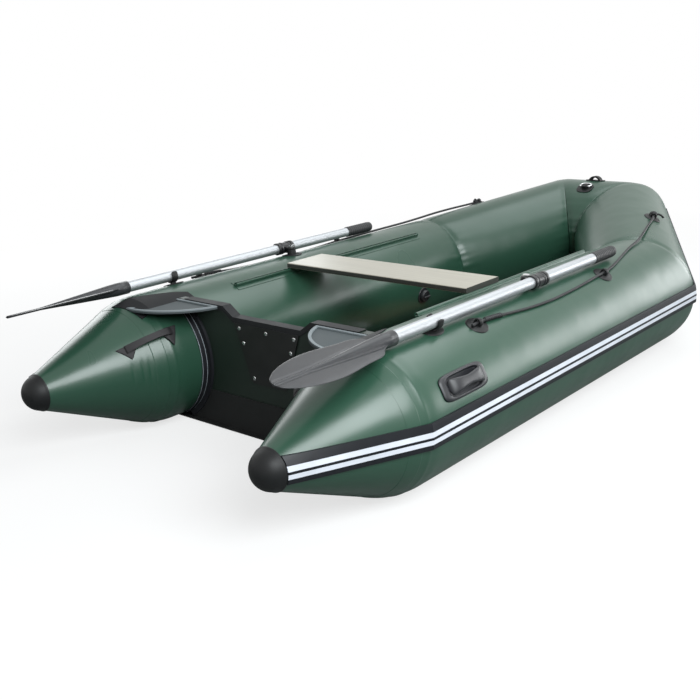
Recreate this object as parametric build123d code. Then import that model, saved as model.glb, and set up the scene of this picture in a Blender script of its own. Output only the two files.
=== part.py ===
from build123d import *

import os
from functools import lru_cache
from math import atan, cos, degrees, radians, sin, tan

# Inflatable motor dinghy with a rigid transom, a sliding seat and two stowed oars.
# +X is starboard, +Y the bow, +Z up.  Everything is built with y = 0 at the seam where
# the stern cones start, and moved at the end so that the origin is the bottom centre.
# Angles round a tube ("phi") start at its outboard side and rise over its top.

# ---- driving dimensions, millimetres and degrees ------------------------------------

# Inflated tubes
TUBE_R = 190.0
TUBE_WALL = 1.2
TUBE_X = 435.0
SIDE_LENGTH = 1492.0
BOW_CORNER_X = 121.0
BOW_RUN = 546.0
BOW_RISE = 107.0
CONE_LENGTH = 340.0
CONE_TIP_R = 43.6

# Adhesive between the skin and what is bonded to it
GLUE_T = 0.3

# Rubber caps on the cone tips
CAP_WALL = 2.0
CAP_SKIRT = 15.0

# Rub rail round the outside: a black strip with two white inlays, heights from the axis
RAIL_LOW = -23.0
RAIL_HIGH = 39.5
RAIL_BASE = 3.0
RAIL_RIB = 5.0
INLAY_T = 1.4
INLAY_LOW = (-11.0, 0.5)
INLAY_HIGH = (6.5, 19.5)

# Transom board, its edge channel and the motor plates
TRANSOM_Y = 115.0
BOARD_T = 25.0
BOARD_BOTTOM_Z = 14.0
BOARD_CUT_Z = 342.0
BOARD_TOP_Z = 369.0
CUT_HALF = 128.0
SHOULDER_HALF = 166.0
CHANNEL_T = 3.0
CHANNEL_DEPTH = 12.0
PLATE_T = 4.0
PLATE_TOP_HALF = 122.0
PLATE_BOTTOM_HALF = 66.0
PLATE_BOTTOM_Z = 162.0
INNER_PLATE_BOTTOM_Z = 232.0
SCREW_HEAD_R = 6.0
SCREW_R = 3.0
SCREW_INSET = 14.0

# Rubber holders that carry the board on the tubes, and their fairings
HOLDER_T = 3.0
HOLDER_LIP_T = 9.0
HOLDER_LIP_H = 16.0
HOLDER_WIDTH = 82.0
HOLDER_PHI = (130.0, 240.0)
FAIRING_T = 3.0
FAIRING_PHI = 105.0
FAIRING_EDGE_Y = (-46.0, -8.0, 60.0, 128.0, 165.0)
FAIRING_EDGE_PHI = (84.0, 89.0, 96.5, 103.5, 109.0)
FAIRING_LOW_PHI = 121.0
GUSSET_PHI = 115.5
GUSSET_T = 3.0
GUSSET_REACH = 166.0
GUSSET_AFT = 152.0
GUSSET_RIM = (8.0, 9.0)
GUSSET_GAP = 0.3

# Floor: a sheet glued under the tubes and three boards with joining strips
SHEET_Z = 3.0
SHEET_T = 4.0
SHEET_OVERHANG = 14.0
SHEET_FLAP_Z = 108.0
FLOOR_T = 12.0
FLOOR_HALF = 226.0
FLOOR_START = 190.0
FLOOR_LENGTH = 1140.0
FLOOR_COUNT = 3
JOINER_WIDTH = 40.0
JOINER_LIP = 2.0
JOINER_GAP = 0.3
FLOOR_CLEARANCE = 0.3
FLOOR_Z = SHEET_Z + SHEET_T + FLOOR_CLEARANCE + JOINER_LIP + JOINER_GAP

# Seat on two tracks
SEAT_Y = 649.5
SEAT_OVERHANG = 6.0
SEAT_WIDTH = 171.0
SEAT_T = 16.0
SEAT_CLEARANCE = 0.3
TRACK_PHI = 118.0
TRACK_START = 330.0
TRACK_END = 1270.0
TRACK_FLANGE = 38.0
TRACK_FLANGE_T = 1.5
TRACK_R = 6.0
TRACK_BORE_R = 4.0
TRACK_SLOT = 3.8
BEAD_CLEARANCE = 0.4
WEB_CLEARANCE = 0.3
SLIDER_LENGTH = 130.0
WEB_DEPTH = 8.0

# Oars, stowed along the tubes
OAR_PHI = 75.0
OAR_STANDOFF = 26.0
SHAFT_R = 16.0
SHAFT_WALL = 1.6
NECK_Y = -5.0
SLEEVE_SEAM_Y = 415.0
SPIGOT_LENGTH = 60.0
BLADE_TIP_Y = -354.0
BLADE_HALF = 60.0
BLADE_T = 6.0
BLADE_RIB_R = 11.0
SOCKET_R = 19.0
SOCKET_LENGTH = 42.0
GRIP_Y = 1032.0
GRIP_LENGTH = 138.0
GRIP_R = 18.5

# Oarlocks
LOCK_Y = 700.0
LOCK_TILT_PHI = 84.0
LOCK_LENGTH = 46.0
LOCK_R = 20.5
LOCK_CLEARANCE = 0.4
COLLAR_R = 20.3
COLLAR_LENGTH = 12.0
COLLAR_GAP = 0.5
PIN_OFFSET = 36.0
PIN_R = 6.0
PIN_CLEARANCE = 0.3
PIN_TOP = 26.0
ARM_T = 10.0
ARM_GAP = 0.5
FOOT_R = 34.0
FOOT_T = 2.0
BOSS_R = 15.0
PIN_HEAD_R = 10.0
PIN_HEAD_T = 4.0

# Rubber clips under the oar shafts
CLIP_Y = 205.0
CLIP_LENGTH = 22.0
CLIP_WALL = 5.0
CLIP_MOUTH = 100.0
CLIP_CLEARANCE = 0.3
CLIP_PAD = (74.0, 50.0)

# Eyelets and the rope through them
PAD_T = 3.0
EYELET_PAD_R = 28.0
EYELET_H = 16.0
EYELET_W = 24.0
EYELET_L = 11.0
ROPE_R = 4.0
EYE_HOLE_R = 5.2
EYE_LIFT = 8.6
EYELET_AFT_Y = 345.0
EYELET_AFT_PHI = 63.0
EYELET_AHEAD_Y = 1030.0
EYELET_AHEAD_PHI = 60.0
EYELET_BOW_ALONG = 272.0
EYELET_BOW_PHI = 65.0

# Moulded side handles
HANDLE_Y = 160.0
HANDLE_PHI = 28.0
HANDLE_PAD = (184.0, 66.0)
HANDLE_BAR = (150.0, 20.0, 9.0)
HANDLE_LIFT = 17.0
HANDLE_END = 22.0

# Webbing handles inside the stern cones
STRAP_Y = -50.0
STRAP_PHI = 144.0
STRAP_SPAN = 120.0
STRAP_W = 26.0
STRAP_T = 3.0
STRAP_RISE = 26.0
STRAP_PAD = 52.0

# Air valves
VALVE_Y = 1170.0
VALVE_PHI = 189.0
BOW_VALVE_ALONG = 300.0
VALVE_FLANGE_R = 31.0
VALVE_FLANGE_T = 4.0
VALVE_NECK_R = 19.0
VALVE_BORE_R = 15.0
VALVE_NECK_H = 9.0
CAP_GAP = 0.3
VALVE_CAP_R = 23.0
VALVE_CAP_H = 9.0

# Towing ring and carry handle on the bow
BOW_PAD_PHI = 108.0
BOW_PAD = (66.0, 56.0)
RING_R = 22.0
RING_DROP = 27.0
RING_CORNER_R = 8.0
RING_WIRE_R = 3.0
RING_LUG = (22.0, 20.0, 13.0)
RING_BORE_CLEARANCE = 0.3
RING_DROOP = 11.5
BOW_HANDLE_PHI = 80.0
BOW_HANDLE = (54.0, 22.0, 19.0)

# ---- tube axes and their frames -----------------------------------------------------

UP = Vector(0, 0, 1)
AFT_AXIS = Vector(TUBE_X, 0, TUBE_R)
SIDE_END = Vector(TUBE_X, SIDE_LENGTH, TUBE_R)
CORNER = Vector(BOW_CORNER_X, SIDE_LENGTH + BOW_RUN, TUBE_R + BOW_RISE)
PORT_CORNER = Vector(-CORNER.X, CORNER.Y, CORNER.Z)
SIDE_DIR = (SIDE_END - AFT_AXIS).normalized()
BOW_DIR = (CORNER - SIDE_END).normalized()
FRONT_DIR = (PORT_CORNER - CORNER).normalized()
SIDE_MITRE = Plane(origin=SIDE_END, z_dir=SIDE_DIR + BOW_DIR)
BOW_MITRE = Plane(origin=CORNER, z_dir=BOW_DIR + FRONT_DIR)


def reflect(direction, plane):
    """A direction mirrored in a mitre plane: the outboard side carried to the next run."""
    return direction - plane.z_dir * (2 * direction.dot(plane.z_dir))


SIDE_OUT = Vector(1, 0, 0)
BOW_OUT = reflect(SIDE_OUT, SIDE_MITRE)
FRONT_OUT = reflect(BOW_OUT, BOW_MITRE)
SIDE = (AFT_AXIS, SIDE_DIR, SIDE_OUT)
BOW = (SIDE_END, BOW_DIR, BOW_OUT)
FRONT = (CORNER, FRONT_DIR, FRONT_OUT)


def rise_of(run):
    """The direction at 90 degrees round a run: roughly up."""
    along, out = run[1:]
    return out.cross(along)


def surface(run, s, phi, lift=0.0):
    """Plane on a tube's skin: x along the tube, z out of it, s along it, phi round it."""
    start, along, out = run
    normal = out * cos(radians(phi)) + rise_of(run) * sin(radians(phi))
    return Plane(origin=start + along * s + normal * (TUBE_R + lift), x_dir=along, z_dir=normal)


def port(shape):
    """The same piece on the port side."""
    return mirror(shape, about=Plane.YZ)


# ---- tubes --------------------------------------------------------------------------


def run_solid(profile, run, length, before, after):
    """A profile carried along a run, drawn with x outboard and y towards phi = 90."""
    start, along, out = run
    plane = Plane(origin=start + along * (length + after), x_dir=out, z_dir=-along)
    return extrude(plane * profile, amount=length + before + after)


@lru_cache(maxsize=None)
def side_body(extra):
    """Stern cone and side tube as one turned solid, its radius grown by extra."""
    ahead = SIDE_LENGTH + TUBE_R
    outline = Polyline(
        (0, -CONE_LENGTH),
        (CONE_TIP_R + extra, -CONE_LENGTH),
        (TUBE_R + extra, 0),
        (TUBE_R + extra, ahead),
        (0, ahead),
        close=True,
    )
    turned = revolve(make_face(outline), axis=Axis.Y)
    return Pos(TUBE_X, 0, TUBE_R) * turned


@lru_cache(maxsize=None)
def bow_body(extra):
    """The slanting bow tube, longer than it is and not yet mitred."""
    length = (CORNER - SIDE_END).length
    return run_solid(Circle(TUBE_R + extra), BOW, length, TUBE_R, TUBE_R)


@lru_cache(maxsize=None)
def front_body(extra):
    """The tube across the bow, longer than it is and not yet mitred."""
    length = (PORT_CORNER - CORNER).length
    return run_solid(Circle(TUBE_R + extra), FRONT, length, TUBE_R, TUBE_R)


def between_corners(shape):
    """What lies between the mitres at the two bow corners."""
    kept = split(shape, bisect_by=BOW_MITRE, keep=Keep.TOP)
    return port(split(port(kept), bisect_by=BOW_MITRE, keep=Keep.TOP))


def on_bow(shape):
    """What lies between the first bow seam and the starboard bow corner."""
    kept = split(shape, bisect_by=SIDE_MITRE, keep=Keep.TOP)
    return split(kept, bisect_by=BOW_MITRE, keep=Keep.BOTTOM)


def side_tube():
    """Starboard air chamber: a cone and a cylinder of fabric, closed by a baffle."""
    outside = split(side_body(0), bisect_by=SIDE_MITRE, keep=Keep.BOTTOM)
    baffle = Plane(origin=SIDE_END - SIDE_MITRE.z_dir * TUBE_WALL, z_dir=SIDE_MITRE.z_dir)
    inside = split(side_body(-TUBE_WALL), bisect_by=baffle, keep=Keep.BOTTOM)
    inside -= Pos(TUBE_X, TUBE_WALL - CONE_LENGTH - TUBE_R, TUBE_R) * Box(
        2 * TUBE_R, 2 * TUBE_R, 2 * TUBE_R
    )
    return outside - inside


def bow_tube():
    """Starboard half of the bow chamber, open at both ends."""
    return on_bow(bow_body(0) - bow_body(-TUBE_WALL))


def front_tube():
    """Middle of the bow chamber, open at both ends."""
    return between_corners(front_body(0) - front_body(-TUBE_WALL))


def cone_cap():
    """Rubber cup over the tip of a stern cone: it carries the cone on to a round nose."""
    slope = (TUBE_R - CONE_TIP_R) / CONE_LENGTH
    lean = atan(slope)
    inner_r = CONE_TIP_R / cos(lean)
    outer_r = inner_r + CAP_WALL
    centre = -CONE_LENGTH + inner_r * sin(lean)
    edge = -CONE_LENGTH + CAP_SKIRT
    edge_r = CONE_TIP_R + slope * CAP_SKIRT
    turn = 90 - degrees(lean)
    nose = CenterArc((0, centre), outer_r, start_angle=-90, arc_size=turn)
    hollow = CenterArc((0, centre), inner_r, start_angle=-90, arc_size=turn)
    rim = (edge_r + CAP_WALL * cos(lean), edge - CAP_WALL * sin(lean))
    side = Polyline(nose @ 1, rim, (edge_r, edge), hollow @ 1)
    outline = make_face([nose, side, hollow, Line(hollow @ 0, nose @ 0)])
    return Pos(TUBE_X, 0, TUBE_R) * revolve(outline, axis=Axis.Y)


# ---- rub rail -----------------------------------------------------------------------


def band_profile(low, high, inner, outer):
    """Slice of a ring on the outboard side of a tube, between two heights."""
    ring = Circle(TUBE_R + outer) - Circle(TUBE_R + inner)
    return ring & (Pos(TUBE_R, (low + high) / 2) * Rectangle(TUBE_R, high - low))


def bands(low, high, inner, outer):
    """A band round the boat: cone, side and bow on one side, and the front."""
    profile = band_profile(low, high, inner, outer)
    aft = -CONE_LENGTH + CAP_SKIRT
    cone = side_body(outer) - side_body(inner)
    cone &= Pos(TUBE_X + TUBE_R / 2 + 1, aft / 2, TUBE_R + (low + high) / 2) * Box(
        TUBE_R + 20, -aft, high - low
    )
    side = split(
        run_solid(profile, SIDE, SIDE_LENGTH, 0, TUBE_R), bisect_by=SIDE_MITRE, keep=Keep.BOTTOM
    )
    bow = on_bow(run_solid(profile, BOW, (CORNER - SIDE_END).length, TUBE_R, TUBE_R))
    width = (PORT_CORNER - CORNER).length
    front = between_corners(run_solid(profile, FRONT, width, TUBE_R, TUBE_R))
    return [cone, side, bow], front


def rub_rail():
    """Black strip: a base all over, and ribs above, between and below the inlays."""
    half, front = bands(RAIL_LOW, RAIL_HIGH, GLUE_T, RAIL_RIB)
    for low, high in (INLAY_LOW, INLAY_HIGH):
        groove, front_groove = bands(low, high, RAIL_BASE, RAIL_RIB)
        half = [piece - cut for piece, cut in zip(half, groove)]
        front -= front_groove
    return all_round(half, front)


def rail_inlays():
    """Two white strips in the rail's grooves."""
    solids = []
    for low, high in (INLAY_LOW, INLAY_HIGH):
        half, front = bands(low, high, RAIL_BASE, RAIL_BASE + INLAY_T)
        solids += all_round(half, front).solids()
    return Compound(children=solids)


def all_round(half, front):
    """Starboard pieces, their mirror images and the front piece, as one strip."""
    pieces = [front]
    for piece in half:
        pieces += [piece, port(piece)]
    return Compound(children=[solid for piece in pieces for solid in piece.solids()])


# ---- transom ------------------------------------------------------------------------


def across(outline, y, depth):
    """An outline in x and z, extruded forward from y by depth."""
    plane = Plane(origin=(0, y, 0), x_dir=(1, 0, 0), z_dir=(0, -1, 0))
    return extrude(plane * make_face(Polyline(*outline, close=True)), amount=-depth)


def both_sides(points):
    """Starboard points of a symmetric outline, followed by their port mirror images."""
    return list(points) + [(-x, z) for x, z in reversed(points)]


def tubes_grown(extra):
    """Both side tubes, grown by extra, to trim what is fitted between them."""
    return [side_body(extra), port(side_body(extra))]


def trimmed(shape, extra):
    """A shape cut back to the tubes grown by extra."""
    for tube in tubes_grown(extra):
        shape -= tube
    return shape


def board_top(half, drop=0.0):
    """Top edge of the board from its middle to x = half, lowered by drop."""
    return [
        (CUT_HALF, BOARD_CUT_Z - drop),
        (SHOULDER_HALF, BOARD_TOP_Z - drop),
        (half, BOARD_TOP_Z - drop),
    ]


def board_blank(drop, y, depth):
    """The board's outline with its top edge lowered by drop, cut to the holders."""
    right = [(TUBE_X, BOARD_BOTTOM_Z)] + list(reversed(board_top(TUBE_X, drop)))
    return trimmed(across(both_sides(right), y, depth), HOLDER_T)


def transom_board():
    """Plywood transom with a lowered middle for the motor."""
    board = board_blank(CHANNEL_T, TRANSOM_Y, BOARD_T)
    for x, z in screw_places():
        board -= screw_shape(x, z, SCREW_R, SCREW_R)
    return board


def transom_channel():
    """Edge channel over the board's top: its top strip and two lips."""
    top = board_blank(0, TRANSOM_Y - CHANNEL_T, BOARD_T + 2 * CHANNEL_T)
    top -= board_blank(CHANNEL_DEPTH + CHANNEL_T, TRANSOM_Y - TUBE_R, 2 * TUBE_R)
    top -= board_blank(CHANNEL_T, TRANSOM_Y, BOARD_T)
    lips = [
        Pos(side * TUBE_X, TRANSOM_Y + BOARD_T / 2, TUBE_R)
        * Rot(90, 0, 0)
        * Cylinder(TUBE_R + HOLDER_T + HOLDER_LIP_H, BOARD_T + 4 * CHANNEL_T)
        for side in (1, -1)
    ]
    for lip in lips:
        top -= lip
    return top


def plate(bottom_z, y):
    """Tapered motor plate whose top lies under the channel's lip."""
    top_z = BOARD_CUT_Z - CHANNEL_T - CHANNEL_DEPTH
    taper = (PLATE_TOP_HALF - PLATE_BOTTOM_HALF) / (top_z - PLATE_BOTTOM_Z)
    bottom_half = PLATE_BOTTOM_HALF + taper * (bottom_z - PLATE_BOTTOM_Z)
    right = [(bottom_half, bottom_z), (PLATE_TOP_HALF, top_z)]
    solid = across(both_sides(right), y, PLATE_T)
    corners = solid.edges().filter_by(Axis.Y).sort_by(Axis.Z)[:2]
    return fillet(corners, SCREW_INSET)


def plate_half(z):
    """Half the motor plate's width at a height."""
    top_z = BOARD_CUT_Z - CHANNEL_T - CHANNEL_DEPTH
    share = (z - PLATE_BOTTOM_Z) / (top_z - PLATE_BOTTOM_Z)
    return PLATE_BOTTOM_HALF + share * (PLATE_TOP_HALF - PLATE_BOTTOM_HALF)


def screw_places():
    """Screws in pairs down the plate's edges, and one in the middle of its top."""
    top_z = BOARD_CUT_Z - CHANNEL_T - CHANNEL_DEPTH - SCREW_INSET
    middle_z = (top_z + INNER_PLATE_BOTTOM_Z) / 2
    low_z = PLATE_BOTTOM_Z + SCREW_INSET
    places = [(0, top_z)]
    for z in (top_z, middle_z, low_z):
        half = plate_half(z) - SCREW_INSET
        places += [(half, z), (-half, z)]
    return places


def screw_shape(x, z, shank_r, head_r):
    """A flush screw from the aft plate's face to the inner plate's face."""
    y = TRANSOM_Y - PLATE_T
    length = BOARD_T + 2 * PLATE_T
    shank = Pos(x, y + length / 2, z) * Rot(90, 0, 0) * Cylinder(shank_r, length)
    head = Pos(x, y + PLATE_T / 4, z) * Rot(90, 0, 0) * Cylinder(head_r, PLATE_T / 2)
    return shank + head


def motor_plate():
    """Wear plate on the aft face, where the motor's clamp pads press."""
    solid = plate(PLATE_BOTTOM_Z, TRANSOM_Y - PLATE_T)
    for x, z in screw_places():
        solid -= screw_shape(x, z, SCREW_R, SCREW_HEAD_R)
    return solid


def inner_plate():
    """Clamp plate on the inner face."""
    solid = plate(INNER_PLATE_BOTTOM_Z, TRANSOM_Y + BOARD_T)
    for x, z in screw_places():
        solid -= screw_shape(x, z, SCREW_R, SCREW_R)
    return solid


def plate_screws():
    """The screws as a group of separate solids; the low pair stops in the board."""
    solids = []
    for x, z in screw_places():
        screw = screw_shape(x, z, SCREW_R, SCREW_HEAD_R)
        if z < INNER_PLATE_BOTTOM_Z:
            screw -= across(
                [(-TUBE_X, 0), (TUBE_X, 0), (TUBE_X, TUBE_X), (-TUBE_X, TUBE_X)],
                TRANSOM_Y + BOARD_T,
                PLATE_T + 1,
            )
        solids += screw.solids()
    return Compound(children=solids)


def wedge(phi_from, phi_to, y, width):
    """Slice of the space round the side tube's axis, between two angles."""
    reach = 4 * TUBE_R
    steps = [phi_from + (phi_to - phi_from) * i / 4 for i in range(5)]
    rim = [(TUBE_X + reach * cos(radians(a)), TUBE_R + reach * sin(radians(a))) for a in steps]
    return across([(TUBE_X, TUBE_R)] + rim, y, width)


def transom_holder():
    """Rubber holder on the tube: a wide base and a lip on each face of the board."""
    middle = TRANSOM_Y + BOARD_T / 2
    base = side_body(HOLDER_T) - side_body(GLUE_T)
    base &= wedge(*HOLDER_PHI, middle - HOLDER_WIDTH / 2, HOLDER_WIDTH)
    lips = side_body(HOLDER_T + HOLDER_LIP_H) - side_body(HOLDER_T)
    aft = lips & wedge(*HOLDER_PHI, TRANSOM_Y - HOLDER_LIP_T, HOLDER_LIP_T)
    ahead = lips & wedge(*HOLDER_PHI, TRANSOM_Y + BOARD_T, HOLDER_LIP_T)
    return base + aft + ahead


def fairing():
    """Rubber leaf glued to the top of the tube beside the board, over the corner piece."""
    frame = surface(SIDE, 0, FAIRING_PHI, -TUBE_R)
    edge = zip(FAIRING_EDGE_Y, FAIRING_EDGE_PHI)
    upper = [(y, TUBE_R * sin(radians(phi - FAIRING_PHI))) for y, phi in edge]
    low = TUBE_R * sin(radians(FAIRING_LOW_PHI - FAIRING_PHI))
    aft, ahead = upper[0], upper[-1]
    edges = [Spline(*upper), Polyline(ahead, (ahead[0], low), (aft[0] + 12, low), aft)]
    leaf = extrude(frame * make_face(edges), amount=2 * TUBE_R)
    return (side_body(FAIRING_T) - side_body(GLUE_T)) & leaf


def gusset_outline():
    """Plan of the corner piece: straight along the board, a curved free edge to the cone."""
    front = TRANSOM_Y - CHANNEL_T - GUSSET_GAP
    tube_side = TUBE_X + TUBE_R * cos(radians(GUSSET_PHI)) + 12
    inner = tube_side - GUSSET_REACH - 12
    tip = (tube_side + 34, front - GUSSET_AFT)
    bulge = (inner + 0.48 * GUSSET_REACH, front - 0.74 * GUSSET_AFT)
    free = ThreePointArc((inner, front), bulge, tip)
    rest = Polyline(tip, (tube_side + 4, front - 0.6 * GUSSET_AFT), (tube_side, front), (inner, front))
    return make_face([free, rest])


def gusset():
    """Corner piece between the tube and the board's top: a level web in a raised rim."""
    width, height = GUSSET_RIM
    z = TUBE_R + TUBE_R * sin(radians(GUSSET_PHI))
    face = gusset_outline()
    web = extrude(Pos(0, 0, z - GUSSET_T) * face, amount=GUSSET_T)
    rim = face - offset(face, -width)
    rim = extrude(Pos(0, 0, z - height / 2) * rim, amount=height)
    return (web + rim) - side_body(FAIRING_T + GUSSET_GAP)


# ---- floor --------------------------------------------------------------------------


def bottom_sheet():
    """Bottom fabric between the tubes, rising with the bow, lapped up the transom."""
    aft = TRANSOM_Y - SHEET_T - SHEET_OVERHANG
    knee = SIDE_LENGTH - 30
    lap = TRANSOM_Y - SHEET_T
    low, high = SHEET_Z, SHEET_Z + SHEET_T
    rise = BOW_RISE * (CORNER.Y - knee) / (CORNER.Y - SIDE_LENGTH)
    outline = [
        (aft, low),
        (knee, low),
        (CORNER.Y, low + rise),
        (CORNER.Y, high + rise),
        (knee, high),
        (lap + SHEET_T, high),
        (lap + SHEET_T, SHEET_FLAP_Z),
        (lap, SHEET_FLAP_Z),
        (lap, high),
        (aft, high),
    ]
    plane = Plane(origin=(TUBE_X, 0, 0), x_dir=(0, 1, 0), z_dir=(1, 0, 0))
    sheet = extrude(plane * make_face(Polyline(*outline, close=True)), amount=-2 * TUBE_X)
    sheet = trimmed(sheet, 0)
    flap_space = across(
        [(-TUBE_X, high), (TUBE_X, high), (TUBE_X, TUBE_X), (-TUBE_X, TUBE_X)],
        lap - 1,
        SHEET_T + 2,
    )
    flap_space &= side_body(HOLDER_T + HOLDER_LIP_H) + port(side_body(HOLDER_T + HOLDER_LIP_H))
    sheet -= flap_space
    for tube in (bow_body(0), port(bow_body(0)), front_body(GLUE_T)):
        sheet -= tube
    return sheet.solids().sort_by(SortBy.VOLUME)[-1]


def floor_board(index):
    """One floor board between two joining strips."""
    pitch = FLOOR_LENGTH / FLOOR_COUNT
    gap = JOINER_LIP / 2 + JOINER_GAP
    start = FLOOR_START + index * pitch + (gap if index else 0)
    end = FLOOR_START + (index + 1) * pitch - (gap if index < FLOOR_COUNT - 1 else 0)
    board = Pos(0, (start + end) / 2, FLOOR_Z + FLOOR_T / 2) * Box(
        2 * FLOOR_HALF, end - start, FLOOR_T
    )
    return board


def floor_joiner(index):
    """H-section strip between two floor boards."""
    y = FLOOR_START + (index + 1) * FLOOR_LENGTH / FLOOR_COUNT
    height = FLOOR_T + 2 * (JOINER_LIP + JOINER_GAP)
    middle = FLOOR_Z + FLOOR_T / 2
    block = Box(2 * FLOOR_HALF, JOINER_WIDTH, height)
    slot = Box(2 * FLOOR_HALF + 1, (JOINER_WIDTH - JOINER_LIP) / 2, FLOOR_T + 2 * JOINER_GAP)
    for side in (1, -1):
        block -= Pos(0, side * (JOINER_WIDTH + JOINER_LIP) / 4, 0) * slot
    return Pos(0, y, middle) * block


# ---- seat ---------------------------------------------------------------------------


TRACK_CENTRE = TRACK_FLANGE_T + TRACK_R


def cross_plane(y, phi):
    """Plane across the side tube: x round the tube, y out of it, z forward."""
    on_skin = surface(SIDE, y, phi)
    return Plane(origin=on_skin.origin, x_dir=on_skin.y_dir, z_dir=SIDE_DIR)


def seat_track():
    """Track glued to the tube: a flange and a slotted tube that holds the bead."""
    length = TRACK_END - TRACK_START
    middle = (TRACK_START + TRACK_END) / 2
    flange = side_body(TRACK_FLANGE_T) - side_body(GLUE_T)
    flange &= extrude(
        surface(SIDE, middle, TRACK_PHI, -TUBE_R) * Rectangle(length, TRACK_FLANGE),
        amount=2 * TUBE_R,
    )
    ring = Circle(TRACK_R) - Circle(TRACK_BORE_R)
    ring -= Pos(0, TRACK_R) * Rectangle(TRACK_SLOT, 2 * TRACK_R)
    root = Pos(0, -TRACK_R) * Rectangle(2 * TRACK_R, TRACK_R) - Circle(TRACK_R)
    profile = Pos(0, TRACK_CENTRE) * (ring + root)
    tube = extrude(cross_plane(TRACK_START, TRACK_PHI) * profile, amount=length)
    return flange + (tube - side_body(GLUE_T))


def seat_bottom():
    """Height of the seat's underside, just over the tracks."""
    centre = surface(SIDE, 0, TRACK_PHI, TRACK_CENTRE)
    return centre.origin.Z + TRACK_R + SEAT_CLEARANCE


def seat_half():
    """Half the seat's length: past the place where the slider's web meets it."""
    web_x = TUBE_X + (seat_bottom() - TUBE_R) / tan(radians(TRACK_PHI))
    return web_x + SEAT_OVERHANG


def slider_web():
    """The slider's web, long enough to pass through the seat."""
    clear = TRACK_BORE_R - BEAD_CLEARANCE
    reach = 3 * TRACK_R
    web = Rectangle(TRACK_SLOT - 2 * WEB_CLEARANCE, reach)
    web = Pos(0, TRACK_CENTRE + reach / 2) * web
    plane = cross_plane(SEAT_Y - SLIDER_LENGTH / 2, TRACK_PHI)
    bead = extrude(plane * (Pos(0, TRACK_CENTRE) * Circle(clear)), amount=SLIDER_LENGTH)
    return extrude(plane * web, amount=SLIDER_LENGTH), bead


def seat_slider():
    """Bead in the track and a web let into the seat's underside."""
    web, bead = slider_web()
    above = Pos(TUBE_X, SEAT_Y, seat_bottom() + WEB_DEPTH + TUBE_R) * Box(
        2 * TUBE_R, 2 * SLIDER_LENGTH, 2 * TUBE_R
    )
    return (web - above) + bead


def seat():
    """Laminated board with rounded long edges and a groove for each slider."""
    middle = Pos(0, SEAT_Y, seat_bottom() + SEAT_T / 2)
    board = middle * Box(2 * seat_half(), SEAT_WIDTH, SEAT_T)
    board = fillet(board.edges().filter_by(Axis.X), SEAT_T * 0.22)
    board -= seat_slider()
    board -= port(seat_slider())
    return board


# ---- oars ---------------------------------------------------------------------------


def oar_frame(y):
    """Plane on the oar's axis: x forward, z out of the tube."""
    return surface(SIDE, y, OAR_PHI, OAR_STANDOFF)


def oar_rod(start, end, outer, inner=0.0):
    """A round bar or tube on the oar's axis."""
    frame = oar_frame(start)
    plane = Plane(origin=frame.origin, x_dir=frame.y_dir, z_dir=SIDE_DIR)
    profile = Circle(outer) - Circle(inner) if inner else Circle(outer)
    return extrude(plane * profile, amount=end - start)


def oar_blade():
    """Moulded blade: a flat leaf, a tapered rib and a socket for the shaft."""
    tip = BLADE_TIP_Y - NECK_Y
    half = BLADE_HALF
    root = (0, SOCKET_R * 0.75)
    shoulder = (tip * 0.11, half * 0.72)
    edge = Spline(
        shoulder,
        (tip * 0.30, half * 0.86),
        (tip * 0.62, half),
        (tip * 0.86, half * 0.70),
        (tip, 0),
        tangents=[(-1, 0.34), (0, -1)],
    )
    side = [Line(root, shoulder), edge]
    outline = side + [mirror(line, about=Plane.XZ) for line in side]
    outline.append(Line(root, (root[0], -root[1])))
    frame = oar_frame(NECK_Y)
    leaf = extrude(frame * make_face(outline), amount=BLADE_T / 2, both=True)
    places = [(BLADE_TIP_Y + 110, BLADE_T / 2), (NECK_Y - 130, BLADE_RIB_R), (NECK_Y, SOCKET_R)]
    rounds = [Plane(origin=oar_frame(y).origin, z_dir=SIDE_DIR) * Circle(r) for y, r in places]
    rib = loft(rounds[:2], ruled=True) + loft(rounds[1:], ruled=True)
    socket = oar_rod(NECK_Y, NECK_Y + SOCKET_LENGTH, SOCKET_R, SHAFT_R)
    return leaf + rib + socket


def lower_shaft():
    """Aluminium tube from the blade to the seam, with a spigot into the upper tube."""
    bore = SHAFT_R - SHAFT_WALL
    tube = oar_rod(NECK_Y, SLEEVE_SEAM_Y, SHAFT_R, bore)
    ends = (SLEEVE_SEAM_Y - SPIGOT_LENGTH, SLEEVE_SEAM_Y + SPIGOT_LENGTH)
    return tube + oar_rod(*ends, bore, bore - SHAFT_WALL)


def upper_shaft():
    """Tube of the same size from the seam through the oarlock to the grip."""
    return oar_rod(SLEEVE_SEAM_Y, GRIP_Y, SHAFT_R, SHAFT_R - SHAFT_WALL)


def oar_collars():
    """Stop rings on the shaft, one each side of the oarlock."""
    reach = LOCK_LENGTH / 2 + COLLAR_GAP
    aft = oar_rod(LOCK_Y - reach - COLLAR_LENGTH, LOCK_Y - reach, COLLAR_R, SHAFT_R)
    ahead = oar_rod(LOCK_Y + reach, LOCK_Y + reach + COLLAR_LENGTH, COLLAR_R, SHAFT_R)
    return Compound(children=[aft, ahead])


def oar_grip():
    """Rubber grip over the end of the shaft, closed at its end."""
    grip = oar_rod(GRIP_Y, GRIP_Y + GRIP_LENGTH, GRIP_R)
    ends = grip.edges().filter_by(GeomType.CIRCLE)
    return fillet(ends, GRIP_R * 0.3)


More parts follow.
